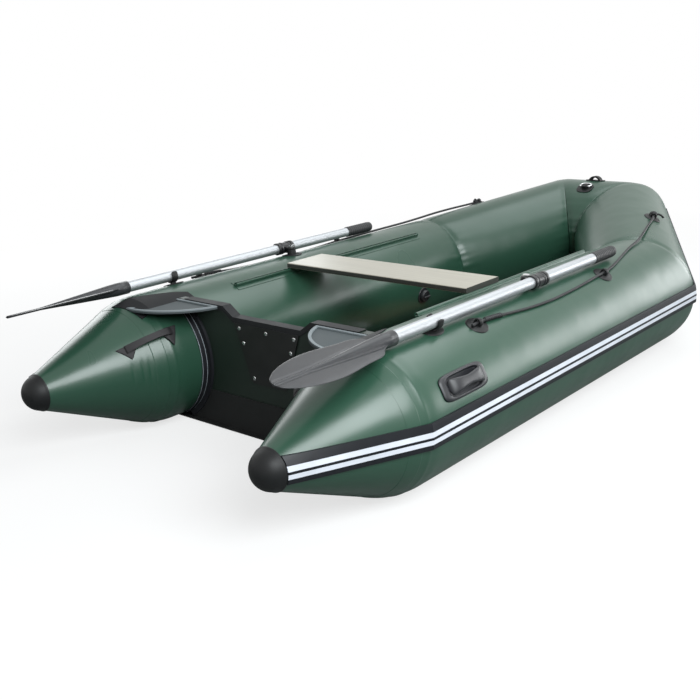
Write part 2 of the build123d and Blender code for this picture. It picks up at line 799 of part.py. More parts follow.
def pin_plane(lift=0.0):
    """Plane across the oarlock's pin: its axis leans inboard of the tube's normal."""
    frame = oar_frame(LOCK_Y)
    axis = Vector(cos(radians(LOCK_TILT_PHI)), 0, sin(radians(LOCK_TILT_PHI)))
    outboard = SIDE_DIR.cross(axis)
    origin = frame.origin - outboard * PIN_OFFSET + axis * lift
    return Plane(origin=origin, x_dir=SIDE_DIR, z_dir=axis)


def pin_rod(low, high, radius):
    """A round bar on the pin's axis, between two heights above the oar's axis."""
    return extrude(pin_plane(low) * Circle(radius), amount=high - low)


def arm_block(low, high):
    """The lock's arm: a flat bar from the ring to the pin, between two heights."""
    plane = pin_plane(low)
    reach = PIN_OFFSET
    bar = Pos(0, -reach / 2) * Rectangle(2 * BOSS_R, reach) + Circle(BOSS_R)
    return extrude(plane * bar, amount=high - low)


def oarlock():
    """Ring round the shaft with an arm that turns on the pin."""
    half = LOCK_LENGTH / 2
    ring = oar_rod(LOCK_Y - half, LOCK_Y + half, LOCK_R)
    arm = arm_block(-ARM_T / 2, ARM_T / 2)
    body = ring + arm
    body -= oar_rod(LOCK_Y - half - 1, LOCK_Y + half + 1, SHAFT_R + LOCK_CLEARANCE)
    body -= pin_rod(-ARM_T, ARM_T, PIN_R + PIN_CLEARANCE)
    return body


def oarlock_base():
    """Foot glued to the tube, with a boss under the arm."""
    plane = pin_plane()
    foot = extrude(
        Plane(origin=plane.origin, x_dir=SIDE_DIR, z_dir=-plane.z_dir) * Circle(FOOT_R),
        amount=TUBE_R,
    )
    foot &= side_body(FOOT_T) - side_body(GLUE_T)
    boss = pin_rod(-TUBE_R / 2, -ARM_T / 2 - ARM_GAP, BOSS_R) - side_body(GLUE_T)
    return foot + boss - pin_rod(-TUBE_R / 2, ARM_T, PIN_R)


def oarlock_pin():
    """Steel pin standing in the base, with a head over the arm."""
    low = ARM_T / 2 + ARM_GAP
    shank = pin_rod(-ARM_T / 2 - PIN_TOP, low, PIN_R) - side_body(GLUE_T)
    head = pin_rod(low, low + PIN_HEAD_T, PIN_HEAD_R)
    return shank + head


def oar_clip():
    """Rubber clip that the stowed shaft snaps into."""
    inner = SHAFT_R + CLIP_CLEARANCE
    ring = Circle(inner + CLIP_WALL) - Circle(inner)
    gap = CLIP_MOUTH / 2
    reach = 3 * SHAFT_R
    mouth = Polyline(
        (0, 0),
        (reach * sin(radians(gap)), reach * cos(radians(gap))),
        (0, 2 * reach),
        (-reach * sin(radians(gap)), reach * cos(radians(gap))),
        close=True,
    )
    ring -= make_face(mouth)
    stem = Pos(0, -OAR_STANDOFF / 2) * Rectangle(3 * CLIP_WALL, OAR_STANDOFF) - Circle(inner)
    profile = Pos(0, OAR_STANDOFF) * (ring + stem)
    clip = extrude(cross_plane(CLIP_Y - CLIP_LENGTH / 2, OAR_PHI) * profile, amount=CLIP_LENGTH)
    clip -= side_body(GLUE_T)
    return clip + conforming_pad(SIDE, CLIP_Y, OAR_PHI, *CLIP_PAD, PAD_T)


# ---- fittings on the tubes ----------------------------------------------------------


def body_of(run, extra):
    """A run's tube as a solid, its radius grown by extra."""
    if run is SIDE:
        return side_body(extra)
    return bow_body(extra) if run is BOW else front_body(extra)


def skin_of(run, inner, outer):
    """A layer over a run's skin."""
    return body_of(run, outer) - body_of(run, inner)


def conforming_pad(run, s, phi, length, width, thickness, corner=0.45):
    """A glued pad with round corners that follows the tube's skin."""
    outline = RectangleRounded(length, width, min(length, width) * corner)
    column = extrude(surface(run, s, phi, -TUBE_R) * outline, amount=2 * TUBE_R)
    return skin_of(run, GLUE_T, thickness) & column


def eyelet_pad(run, s, phi):
    """Round rubber pad under an eyelet."""
    column = extrude(surface(run, s, phi, -TUBE_R) * Circle(EYELET_PAD_R), amount=2 * TUBE_R)
    return skin_of(run, GLUE_T, PAD_T) & column


def eyelet(run, s, phi):
    """Moulded eye on its pad, with the rope's hole along the tube."""
    frame = surface(run, s, phi)
    across_tube = Plane(
        origin=frame.origin - frame.x_dir * (EYELET_L / 2), x_dir=frame.y_dir, z_dir=frame.x_dir
    )
    outline = Pos(0, EYELET_H / 2) * RectangleRounded(EYELET_W, EYELET_H, EYELET_H * 0.42)
    outline += Pos(0, EYELET_H / 4) * Rectangle(EYELET_W, EYELET_H / 2)
    outline -= Pos(0, EYE_LIFT) * Circle(EYE_HOLE_R)
    eye = extrude(across_tube * outline, amount=EYELET_L)
    return eye - body_of(run, PAD_T)


def eyelet_places():
    """Run, place along it and angle of each starboard eyelet."""
    return [
        (SIDE, EYELET_AFT_Y, EYELET_AFT_PHI),
        (SIDE, EYELET_AHEAD_Y, EYELET_AHEAD_PHI),
        (BOW, EYELET_BOW_ALONG, EYELET_BOW_PHI),
    ]


def arch(frame, span, width, rise, thickness):
    """A flat strap that arches over a frame, from foot to foot along its x."""
    outer = ThreePointArc((-span / 2, 0), (0, rise), (span / 2, 0))
    inner_half = span / 2 - thickness * 1.6
    inner = ThreePointArc((inner_half, 0), (0, rise - thickness), (-inner_half, 0))
    closing = [Line(outer @ 1, inner @ 0), Line(inner @ 1, outer @ 0)]
    plane = Plane(
        origin=frame.origin - frame.y_dir * (width / 2), x_dir=frame.x_dir, z_dir=-frame.y_dir
    )
    face = make_face([outer, inner] + closing)
    return extrude(plane * face, amount=-width)


def side_handle():
    """Moulded rubber handle: a pad, two raised ends and a bar between them."""
    frame = surface(SIDE, HANDLE_Y, HANDLE_PHI)
    length, width, height = HANDLE_BAR
    bar = extrude(
        frame.offset(HANDLE_LIFT) * RectangleRounded(length, width, width * 0.45), amount=height
    )
    column = frame * RectangleRounded(length, width, width * 0.45)
    column = extrude(column, amount=HANDLE_LIFT)
    gap = extrude(frame * Rectangle(length - 2 * HANDLE_END, 2 * width), amount=HANDLE_LIFT)
    pad = conforming_pad(SIDE, HANDLE_Y, HANDLE_PHI, *HANDLE_PAD, PAD_T, corner=0.3)
    return pad + bar + ((column - gap) - side_body(GLUE_T))


def cone_frame(y, phi):
    """Plane on the stern cone's skin: x along its slope, z out of it."""
    slope = (TUBE_R - CONE_TIP_R) / CONE_LENGTH
    radius = TUBE_R + slope * y
    round_dir = SIDE_OUT * cos(radians(phi)) + UP * sin(radians(phi))
    along = (SIDE_DIR + round_dir * slope).normalized()
    origin = AFT_AXIS + SIDE_DIR * y + round_dir * radius
    return Plane(origin=origin, x_dir=along, z_dir=along.cross(round_dir.cross(along)))


def strap_handle():
    """Webbing handle on the stern cone: two triangular patches and a strap."""
    frame = cone_frame(STRAP_Y, STRAP_PHI)
    half = STRAP_SPAN / 2
    patches = side_body(PAD_T) - side_body(GLUE_T)
    outlines = []
    for side in (-1, 1):
        middle, rise = side * half, STRAP_PAD * 0.4
        points = [
            (middle - STRAP_PAD / 2, -rise),
            (middle + STRAP_PAD / 2, -rise),
            (middle, STRAP_PAD - rise),
        ]
        outlines.append(fillet(make_face(Polyline(*points, close=True)).vertices(), 7))
    columns = [extrude(frame * face, amount=TUBE_R / 2, both=True) for face in outlines]
    patches &= columns[0] + columns[1]
    strap = arch(frame, STRAP_SPAN, STRAP_W, STRAP_RISE, STRAP_T) - side_body(PAD_T / 2)
    return patches + strap


def valve_at(run, s):
    """Valve on the skin: a flange with a curved back, and a neck with a bore."""
    frame = surface(run, s, VALVE_PHI)
    flange = extrude(frame * Circle(VALVE_FLANGE_R), amount=VALVE_FLANGE_T)
    foot = extrude(frame * Circle(VALVE_FLANGE_R), amount=-VALVE_FLANGE_T)
    neck = extrude(frame * Circle(VALVE_NECK_R), amount=VALVE_FLANGE_T + VALVE_NECK_H)
    bore = extrude(frame.offset(VALVE_FLANGE_T) * Circle(VALVE_BORE_R), amount=2 * VALVE_NECK_H)
    return flange + foot + neck - body_of(run, GLUE_T) - bore


def valve_cap_at(run, s):
    """Screw cap over a valve's neck, with a finger bar across it."""
    frame = surface(run, s, VALVE_PHI)
    low = VALVE_FLANGE_T + CAP_GAP
    cap = extrude(frame.offset(low) * Circle(VALVE_CAP_R), amount=VALVE_NECK_H + 4)
    room = VALVE_NECK_R + CAP_GAP
    cap -= extrude(frame * Circle(room), amount=VALVE_FLANGE_T + VALVE_NECK_H + CAP_GAP)
    top = frame.offset(low + VALVE_NECK_H + 4)
    bar = extrude(top * RectangleRounded(2 * VALVE_CAP_R - 8, 8, 3.5), amount=VALVE_CAP_H)
    return cap + bar


def bow_frame(phi, lift=0.0):
    """Plane at the middle of the front tube: x across the boat to port."""
    return surface(FRONT, CORNER.X, phi, lift)


def bow_pad():
    """Rubber pad on the bow with a bored lug for the towing ring."""
    pad = conforming_pad(FRONT, CORNER.X, BOW_PAD_PHI, *BOW_PAD, PAD_T, corner=0.4)
    frame = bow_frame(BOW_PAD_PHI)
    length, width, height = RING_LUG
    lug = extrude(frame * RectangleRounded(length, width, 4), amount=PAD_T + height)
    return pad + (lug - front_body(GLUE_T)) - ring_bore()


def ring_axis_plane():
    """Plane at the lug's bore: z along the bore, across the boat."""
    frame = bow_frame(BOW_PAD_PHI, PAD_T + RING_LUG[2] * 0.55)
    return Plane(origin=frame.origin, x_dir=frame.y_dir, z_dir=frame.x_dir)


def ring_bore():
    """The lug's bore, across the boat."""
    plane = ring_axis_plane()
    return extrude(plane * Circle(RING_WIRE_R + RING_BORE_CLEARANCE), amount=RING_LUG[0], both=True)


def bow_ring():
    """D-shaped towing ring: a straight bar in the lug's bore, and a bow laid ahead."""
    plane = ring_axis_plane()
    ahead = (-plane.x_dir).rotate(Axis((0, 0, 0), plane.z_dir), RING_DROOP)
    loop_plane = Plane(origin=plane.origin, x_dir=ahead, z_dir=plane.z_dir.cross(ahead))
    outline = Pos(RING_DROP / 2, 0) * Rectangle(RING_DROP, 2 * RING_R)
    corners = outline.vertices().sort_by(Axis.X)
    outline = fillet(corners[:2], RING_CORNER_R)
    outline = fillet(outline.vertices().sort_by(Axis.X)[-2:], RING_R * 0.7)
    route = (loop_plane * outline).face().outer_wire()
    start = Plane(origin=route @ 0, z_dir=route % 0)
    return sweep(start * Circle(RING_WIRE_R), path=route)


def bow_handle():
    """Rubber carry handle ahead of the ring: a pad and an arch."""
    length, width, rise = BOW_HANDLE
    frame = bow_frame(BOW_HANDLE_PHI)
    pad = conforming_pad(FRONT, CORNER.X, BOW_HANDLE_PHI, length + 26, width + 16, PAD_T)
    return pad + (arch(frame, length, width, rise, 6.0) - front_body(GLUE_T))


# ---- lifelines ----------------------------------------------------------------------


def on_side(y, phi, lift=ROPE_R + 1.2):
    """Point over the side tube."""
    return surface(SIDE, y, phi, lift).origin


def on_bow_tube(s, phi, lift=ROPE_R + 1.2):
    """Point over the slanting bow tube."""
    return surface(BOW, s, phi, lift).origin


STARBOARD_ROUTE = [
    on_side(316, 62.6, EYE_LIFT),
    on_side(362, 63.2, EYE_LIFT),
    on_side(420, 62.4, 8.0),
    on_side(500, 59.8),
    on_side(590, 57.2),
    on_side(684, 56.0),
    on_side(784, 56.6),
    on_side(880, 57.8),
    on_side(962, 59.4, 6.4),
    on_side(1016, 59.8, EYE_LIFT),
    on_side(1058, 60.4, EYE_LIFT),
    on_side(1136, 64.4, 7.0),
    on_side(1236, 71.2, 6.0),
    on_side(1340, 77.8, 6.0),
    on_side(1440, 82.0, 9.5),
    on_bow_tube(66, 80.6, 13.0),
    on_bow_tube(160, 73.0, 9.5),
    on_bow_tube(226, 67.2, EYE_LIFT),
    on_bow_tube(258, 65.3, EYE_LIFT),
    on_bow_tube(294, 64.6, EYE_LIFT),
]

PORT_ROUTE = [
    on_side(312, 63.4, EYE_LIFT),
    on_side(360, 63.0, EYE_LIFT),
    on_side(424, 61.6, 8.0),
    on_side(512, 58.4),
    on_side(604, 56.2),
    on_side(702, 55.2),
    on_side(800, 56.0),
    on_side(896, 57.6),
    on_side(966, 59.2, 6.4),
    on_side(1018, 59.8, EYE_LIFT),
    on_side(1060, 60.5, EYE_LIFT),
    on_side(1140, 65.0, 7.0),
    on_side(1244, 71.6, 6.0),
    on_side(1350, 77.4, 6.6),
    on_side(1446, 81.2, 10.5),
    on_bow_tube(70, 79.8, 13.0),
    on_bow_tube(160, 72.4, 10.0),
    on_bow_tube(226, 67.0, EYE_LIFT),
    on_bow_tube(259, 65.3, EYE_LIFT),
    on_bow_tube(296, 64.8, EYE_LIFT),
]


def lifeline(name, points):
    """Rope along a route: straight runs with the largest arcs that fit between them."""
    radii = []
    for before, corner, after in zip(points, points[1:], points[2:]):
        into, out = corner - before, after - corner
        half_turn = radians(into.get_angle(out)) / 2
        radii.append(0.45 * min(into.length, out.length) / tan(half_turn))
    route = FilletPolyline(*points, radius=radii)
    start = Plane(origin=route @ 0, z_dir=route % 0)
    rope = sweep(start * Circle(ROPE_R), path=route)
    print(name, "radii", [round(r) for r in radii], "length", round(route.length))
    return rope


# ---- nodes --------------------------------------------------------------------------


def add_pair(nodes, name, shape):
    """A starboard piece and its port twin."""
    nodes[name + "_starboard"] = shape
    nodes[name + "_port"] = port(shape)


def group(shapes):
    """Separate solids in one node."""
    return Compound(children=[solid for shape in shapes for solid in shape.solids()])


def pair(shape):
    """A starboard piece and its port twin in one node."""
    return group([shape, port(shape)])


def build_nodes():
    """Every node by name, y = 0 at the stern seam."""
    nodes = {}
    add_pair(nodes, "side_tube", side_tube())
    add_pair(nodes, "bow_tube", bow_tube())
    nodes["bow_tube_front"] = front_tube()
    add_pair(nodes, "cone_cap", cone_cap())
    nodes["rub_rail"] = rub_rail()
    nodes["rail_inlays"] = rail_inlays()

    nodes["transom_board"] = transom_board()
    nodes["transom_channel"] = transom_channel()
    nodes["motor_plate"] = motor_plate()
    nodes["inner_plate"] = inner_plate()
    nodes["plate_screws"] = plate_screws()
    add_pair(nodes, "transom_holder", transom_holder())
    nodes["transom_fairings"] = pair(fairing())
    nodes["transom_gussets"] = pair(gusset())

    nodes["bottom_sheet"] = bottom_sheet()
    for index in range(FLOOR_COUNT):
        nodes[f"floor_board_{index + 1}"] = floor_board(index)
    nodes["floor_joiners"] = group([floor_joiner(index) for index in range(FLOOR_COUNT - 1)])

    nodes["seat"] = seat()
    add_pair(nodes, "seat_track", seat_track())
    add_pair(nodes, "seat_slider", seat_slider())

    eyelets = [eyelet(*place) for place in eyelet_places()]
    pads = [eyelet_pad(*place) for place in eyelet_places()]
    nodes["eyelets"] = group(eyelets + [port(piece) for piece in eyelets])
    nodes["eyelet_pads"] = group(pads + [port(piece) for piece in pads])
    add_pair(nodes, "side_handle", side_handle())
    add_pair(nodes, "strap_handle", strap_handle())
    nodes["lifeline_starboard"] = lifeline("starboard", STARBOARD_ROUTE)
    nodes["lifeline_port"] = port(lifeline("port", PORT_ROUTE))

    side_valve = valve_at(SIDE, VALVE_Y)
    nodes["valves"] = group([side_valve, port(side_valve), valve_at(BOW, BOW_VALVE_ALONG)])
    add_pair(nodes, "valve_cap", valve_cap_at(SIDE, VALVE_Y))
    nodes["valve_cap_bow"] = valve_cap_at(BOW, BOW_VALVE_ALONG)
    nodes["bow_pad"] = bow_pad()
    nodes["bow_ring"] = bow_ring()
    nodes["bow_handle"] = bow_handle()

    add_pair(nodes, "oar_clip", oar_clip())
    nodes["oarlock_bases"] = pair(oarlock_base())
    nodes["oarlock_pins"] = pair(oarlock_pin())
    add_pair(nodes, "oarlock", oarlock())
    add_pair(nodes, "oar_blade", oar_blade())
    add_pair(nodes, "oar_shaft_lower", lower_shaft())
    add_pair(nodes, "oar_shaft_upper", upper_shaft())
    add_pair(nodes, "oar_collars", oar_collars())
    add_pair(nodes, "oar_grip", oar_grip())
    return nodes


def main():
    nodes = build_nodes()
    rail = nodes["rub_rail"].bounding_box()
    cap = nodes["cone_cap_starboard"].bounding_box()
    shift = Pos(0, -(rail.max.Y + cap.min.Y) / 2, 0)
    os.makedirs("parts", exist_ok=True)
    for name, shape in nodes.items():
        export_step(shift * shape, f"parts/{name}.step")
    places = {
        "stern seam": Plane.XY,
        "oarlock pin": pin_plane(),
        "oar axis at the lock": oar_frame(LOCK_Y),
        "ring axis": ring_axis_plane(),
        "side valve": surface(SIDE, VALVE_Y, VALVE_PHI),
        "bow valve": surface(BOW, BOW_VALVE_ALONG, VALVE_PHI),
    }
    for name, plane in places.items():
        origin = plane.origin + Vector(0, shift.position.Y, 0)
        print(name, [round(v, 3) for v in origin], "axis", [round(v, 5) for v in plane.z_dir])
    print(len(nodes), "nodes")


main()
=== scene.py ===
"""Inflatable dinghy: the finished look of each piece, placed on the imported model's bodies."""

import math

import bmesh
import bpy
import numpy as np
from mathutils import Matrix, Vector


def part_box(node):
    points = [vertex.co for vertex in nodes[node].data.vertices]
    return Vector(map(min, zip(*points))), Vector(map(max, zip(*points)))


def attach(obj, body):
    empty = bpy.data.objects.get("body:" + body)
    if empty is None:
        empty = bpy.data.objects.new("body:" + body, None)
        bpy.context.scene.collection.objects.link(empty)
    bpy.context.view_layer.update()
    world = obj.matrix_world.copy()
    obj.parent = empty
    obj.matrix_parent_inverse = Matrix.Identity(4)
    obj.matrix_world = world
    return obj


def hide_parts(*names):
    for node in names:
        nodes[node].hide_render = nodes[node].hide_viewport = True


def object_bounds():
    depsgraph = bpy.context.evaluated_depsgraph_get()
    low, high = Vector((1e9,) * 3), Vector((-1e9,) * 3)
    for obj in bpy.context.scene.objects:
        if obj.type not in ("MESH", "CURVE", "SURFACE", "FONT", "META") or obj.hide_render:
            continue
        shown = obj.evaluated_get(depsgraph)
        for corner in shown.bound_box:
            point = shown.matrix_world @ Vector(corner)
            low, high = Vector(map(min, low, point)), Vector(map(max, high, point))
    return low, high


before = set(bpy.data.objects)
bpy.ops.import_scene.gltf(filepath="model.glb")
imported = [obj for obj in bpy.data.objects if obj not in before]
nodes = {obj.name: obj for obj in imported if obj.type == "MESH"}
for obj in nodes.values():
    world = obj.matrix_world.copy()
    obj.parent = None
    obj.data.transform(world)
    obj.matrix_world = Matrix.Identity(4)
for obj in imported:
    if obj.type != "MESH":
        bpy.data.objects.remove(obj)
cad_low, cad_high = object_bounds()

# ---- camera, lamps, floor -----------------------------------------------------------
# The boat stands on a pale studio floor that runs on to a white background. A soft lamp to
# starboard of the stern is the main one; others hang over the boat, stand low ahead of it
# for the pale sheen on its near side, and fill in weakly from port, as an even sky does.

LENS_MM = 49.33
SENSOR_MM = 36.0
CAMERA_PLACE = np.array([1.7929, -2.55655, 1.0244])
CAMERA_YAW = 0.711
CAMERA_PITCH = -0.2991
CAMERA_ROLL = -0.0433
LAMPS = {
    "lamp_key": ((2.6, -1.6, 2.2), (0.0, -0.9, 0.25), (2.4, 1.8), 140.0, (0.93, 0.98, 1.0)),
    "lamp_over": ((0.5, 1.3, 3.0), (0.0, 0.0, 0.2), (3.0, 2.0), 48.0, (0.93, 0.98, 1.0)),
    "lamp_port": ((-3.3, 0.9, 1.1), (-0.4, 0.0, 0.2), (3.4, 1.6), 42.0, (0.95, 0.99, 1.0)),
    "lamp_ahead": ((2.5, 3.8, 0.9), (0.4, 0.0, 0.25), (4.0, 1.4), 80.0, (0.96, 0.99, 1.0)),
}
SKY_STRENGTH = 0.17
FLOOR_HALF = 30.0
FLOOR_MATT_REACH = 1.2
FLOOR_WHITE_REACH = 3.4
FLOOR_GLOW_NEAR = 0.72


def camera_axes(yaw, pitch, roll):
    """Right, up and back directions of a camera turned by yaw, tipped by pitch and rolled."""
    ahead = np.array(
        [-math.sin(yaw) * math.cos(pitch), math.cos(yaw) * math.cos(pitch), math.sin(pitch)]
    )
    level = np.array([math.cos(yaw), math.sin(yaw), 0.0])
    above = np.cross(level, ahead)
    right = math.cos(roll) * level + math.sin(roll) * above
    up = -math.sin(roll) * level + math.cos(roll) * above
    return right, up, -ahead


def placed(thing, place, axes):
    """Adds an object to the scene with its three axes and its place given."""
    rows = np.vstack([np.column_stack([*axes, place]), [0.0, 0.0, 0.0, 1.0]])
    thing.matrix_world = Matrix(rows.tolist())
    bpy.context.scene.collection.objects.link(thing)
    return thing


camera_data = bpy.data.cameras.new("camera")
camera_data.lens = LENS_MM
camera_data.sensor_width = SENSOR_MM
camera = placed(
    bpy.data.objects.new("camera", camera_data),
    CAMERA_PLACE,
    camera_axes(CAMERA_YAW, CAMERA_PITCH, CAMERA_ROLL),
)
bpy.context.scene.camera = camera


def softbox(name, place, target, size, watts, tint):
    """A square lamp at a place, its face towards a target."""
    lamp = bpy.data.lights.new(name, "AREA")
    lamp.shape = "RECTANGLE"
    lamp.size, lamp.size_y = size
    lamp.energy = watts
    lamp.color = tint
    place, target = np.array(place), np.array(target)
    back = (place - target) / np.linalg.norm(place - target)
    right = np.cross([0.0, 1.0, 0.0] if abs(back[2]) > 0.9 else [0.0, 0.0, 1.0], back)
    right /= np.linalg.norm(right)
    return placed(bpy.data.objects.new(name, lamp), place, (right, np.cross(back, right), back))


for name, settings in LAMPS.items():
    softbox(name, *settings)


def linear(text):
    """An sRGB hex colour such as 3f6b52 as linear red, green, blue and alpha."""
    values = np.array([int(text[i : i + 2], 16) for i in (0, 2, 4)]) / 255
    bent = np.where(values <= 0.04045, values / 12.92, ((values + 0.055) / 1.055) ** 2.4)
    return (*bent.tolist(), 1.0)


def add(tree, kind, wires=None, **settings):
    """Adds a node: wires maps an input to a socket, a number or a colour, settings its fields."""
    made = tree.nodes.new("ShaderNode" + kind)
    for field, value in settings.items():
        setattr(made, field, value)
    for key, value in (wires or {}).items():
        if isinstance(value, bpy.types.NodeSocket):
            tree.links.new(value, made.inputs[key])
        else:
            made.inputs[key].default_value = value
    return made


# The sky lights the boat weakly, and shows as plain white behind it and in its gloss.
world = bpy.data.worlds.new("studio")
world.use_nodes = True
sky = world.node_tree
sky.nodes.clear()
rays = add(sky, "LightPath").outputs
through = add(
    sky, "Math", {0: rays["Is Camera Ray"], 1: rays["Is Transmission Ray"]}, operation="MAXIMUM"
)
seen = add(sky, "Math", {0: through.outputs[0], 1: rays["Is Glossy Ray"]}, operation="MAXIMUM")
fill = add(sky, "Background", {"Color": linear("eef3f6"), "Strength": SKY_STRENGTH})
white = add(sky, "Background", {"Color": linear("ffffff"), "Strength": 1.0})
both = add(sky, "MixShader", {0: seen.outputs[0], 1: fill.outputs[0], 2: white.outputs[0]})
add(sky, "OutputWorld", {"Surface": both.outputs[0]})
bpy.context.scene.world = world
bpy.context.scene.view_settings.view_transform = "Standard"


def mesh_of(name, points, faces, smooth=True):
    """A mesh object at the origin from arrays of points and faces."""
    mesh = bpy.data.meshes.new(name)
    mesh.from_pydata(np.asarray(points).reshape(-1, 3).tolist(), [], [list(f) for f in faces])
    mesh.polygons.foreach_set("use_smooth", [smooth] * len(mesh.polygons))
    mesh.update()
    made = bpy.data.objects.new(name, mesh)
    bpy.context.scene.collection.objects.link(made)
    return made


def start_paint(name):
    """A new material with no nodes but the object's coordinates, which its patterns read."""
    paint = bpy.data.materials.new(name)
    paint.use_nodes = True
    paint.node_tree.nodes.clear()
    return paint, paint.node_tree, add(paint.node_tree, "TexCoord").outputs["Object"]


# Matt studio paint near the boat, where it takes the shadow; it runs out to plain white.
corner = np.array([[-1, -1, 0], [1, -1, 0], [1, 1, 0], [-1, 1, 0]]) * FLOOR_HALF
floor = mesh_of("studio_floor", corner + [0, 0, cad_low[2]], [[0, 1, 2, 3]], smooth=False)
floor_paint, tree, place = start_paint("studio_floor_paint")
matt = add(tree, "BsdfDiffuse", {"Color": linear("8f9190")})
pale = add(tree, "BsdfDiffuse", {"Color": linear("ffffff")})
glow = add(tree, "Emission", {"Color": linear("ffffff"), "Strength": 1.0})
reach = add(tree, "VectorMath", {0: place}, operation="LENGTH").outputs["Value"]
spread = {1: FLOOR_MATT_REACH, 2: FLOOR_WHITE_REACH, 3: FLOOR_GLOW_NEAR, 4: 1.0}
away = add(tree, "MapRange", {"Value": reach, **spread})
shown = add(tree, "MixShader", {0: away.outputs[0], 1: pale.outputs[0], 2: glow.outputs[0]})
direct = add(tree, "LightPath").outputs["Is Camera Ray"]
floor_mix = add(tree, "MixShader", {0: direct, 1: matt.outputs[0], 2: shown.outputs[0]})
add(tree, "OutputMaterial", {"Surface": floor_mix.outputs[0]})
floor.data.materials.append(floor_paint)

# ---- air chambers -------------------------------------------------------------------
# Three chambers of PVC-coated polyester: a tube with a stern cone on each side, and a bow
# of three mitred tubes. The cloth is welded in lapped strips: the joint between cone and tube
# shows a lap, and each joint between two straight tubes a shallow pinch and a few puckers on its
# inner side.

SKIN_AROUND = 288
LAP_T = 0.0010
CONE_LAP = (-0.056, -0.022)
CONE_FOLDS = ((-0.114, 0.0010), (-0.088, 0.0016), (-0.070, 0.0013), (-0.040, 0.0010))
FOLDS_FROM_Y = -0.121
FOLDS_TO_Y = -0.059
FOLD_PHI = 172.0
FOLD_SPREAD_PHI = 13.0
FOLD_WIDTH = 0.0035
BEND_DEPTH = 0.0035
BEND_WIDTH = 0.022
PINCH_DEPTH = 0.0030
PINCH_WIDTH = 0.016
PUCKER_DEPTH = 0.0007
PUCKER_WIDTH = 0.055
BOW_CORNER_X = 0.121
CONE_LENGTH = 0.340
CONE_TIP_R = 0.0436
SIDE_LENGTH = 1.492
SIDES = ("starboard", "port")

side_low, side_high = (np.array(v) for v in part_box("side_tube_starboard"))
front_high = np.array(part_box("bow_tube_front")[1])
TUBE_R = (side_high[2] - side_low[2]) / 2
TUBE_X = side_high[0] - TUBE_R
SEAM_Y = side_low[1] + CONE_LENGTH
AXIS_AFT = np.array([TUBE_X, SEAM_Y, TUBE_R])
SIDE_END = AXIS_AFT + [0, SIDE_LENGTH, 0]
CORNER = np.array([BOW_CORNER_X, front_high[1] - TUBE_R, front_high[2] - TUBE_R])
PORTWARD = np.array([-1.0, 1.0, 1.0])


def unit(vectors):
    """Vectors divided by their lengths."""
    vectors = np.asarray(vectors, dtype=float)
    return vectors / np.linalg.norm(vectors, axis=-1, keepdims=True)


def mirrored(direction, normal):
    """A direction carried through a mitre: its part along the normal is turned round."""
    return direction - 2 * np.dot(direction, normal) * normal


SIDE_DIR = np.array([0.0, 1.0, 0.0])
BOW_DIR = unit(CORNER - SIDE_END)
FRONT_DIR = np.array([-1.0, 0.0, 0.0])
SIDE_MITRE = unit(SIDE_DIR + BOW_DIR)
BOW_MITRE = unit(BOW_DIR + FRONT_DIR)
SIDE_OUT = np.array([1.0, 0.0, 0.0])
BOW_OUT = mirrored(SIDE_OUT, SIDE_MITRE)
FRONT_OUT = mirrored(BOW_OUT, BOW_MITRE)
SIDE = (AXIS_AFT, SIDE_DIR, SIDE_OUT)
BOW = (SIDE_END, BOW_DIR, BOW_OUT)
FRONT = (CORNER, FRONT_DIR, FRONT_OUT)


def on_tube(run, s, phi, lift=0.0):
    """Points on a straight tube: s metres along it, phi degrees round from outboard, lifted."""
    start, along, out = run
    turn = np.radians(np.asarray(phi, dtype=float))[..., None]
    normal = out * np.cos(turn) + np.cross(out, along) * np.sin(turn)
    s = np.asarray(s, dtype=float)[..., None]
    return start + along * s + normal * (TUBE_R + np.asarray(lift, dtype=float)[..., None])


def cone_radius(y):
    """Radius of a side chamber at y metres ahead of its seam: it tapers only behind it."""
    return TUBE_R + np.minimum(y, 0.0) * (TUBE_R - CONE_TIP_R) / CONE_LENGTH


def on_side(y, phi, lift=0.0):
    """Points on a side chamber, cone included: y from the seam, phi round, lifted outwards."""
    turn = np.radians(np.asarray(phi, dtype=float))
    y, turn, lift = np.broadcast_arrays(np.asarray(y, dtype=float), turn, lift)
    radius = cone_radius(y) + lift
    return np.stack(
        [TUBE_X + radius * np.cos(turn), SEAM_Y + y, TUBE_R + radius * np.sin(turn)], axis=-1
    )


def mitre_reach(run, phi, normal, corner):
    """How far along a tube the line at phi meets the mitre plane through a corner."""
    rim = on_tube(run, np.zeros_like(phi), phi)
    return ((corner - rim) @ normal) / np.dot(run[1], normal)


def pinch(distance):
    """Depth of the dip beside a mitre: a bell curve of the distance from it."""
    return PINCH_DEPTH * np.exp(-((distance / PINCH_WIDTH) ** 2))


def puckers(distance, phi, phase):
    """Small folds across a seam, deepest at it and on the inner side of the bend."""
    wave = np.sin(np.radians(phi) * 23 + phase) + 0.6 * np.sin(np.radians(phi) * 41 + 2 * phase)
    inner = np.clip(-np.cos(np.radians(phi)), 0.0, 1.0) ** 1.5
    return PUCKER_DEPTH * wave * inner * np.exp(-((distance / PUCKER_WIDTH) ** 2))


def mitred_skin(run, starts, ends, steps, phase):
    """Grid of a tube between two mitres: each line round it runs from one plane to the other."""
    phi = np.linspace(0, 360, SKIN_AROUND, endpoint=False)
    first = mitre_reach(run, phi, *starts)
    last = mitre_reach(run, phi, *ends)
    share = np.linspace(0, 1, steps)
    share = 0.5 - 0.5 * np.cos(np.pi * share)
    s = first[None, :] * (1 - share[:, None]) + last[None, :] * share[:, None]
    near = np.minimum(s - first, last - s)
    lift = -pinch(near) + puckers(near, phi[None, :], phase)
    return on_tube(run, s, np.broadcast_to(phi, s.shape), lift)


SIDE_PLANE = (SIDE_MITRE, SIDE_END)
BOW_PLANE = (BOW_MITRE, CORNER)
PORT_PLANE = (BOW_MITRE * PORTWARD, CORNER * PORTWARD)


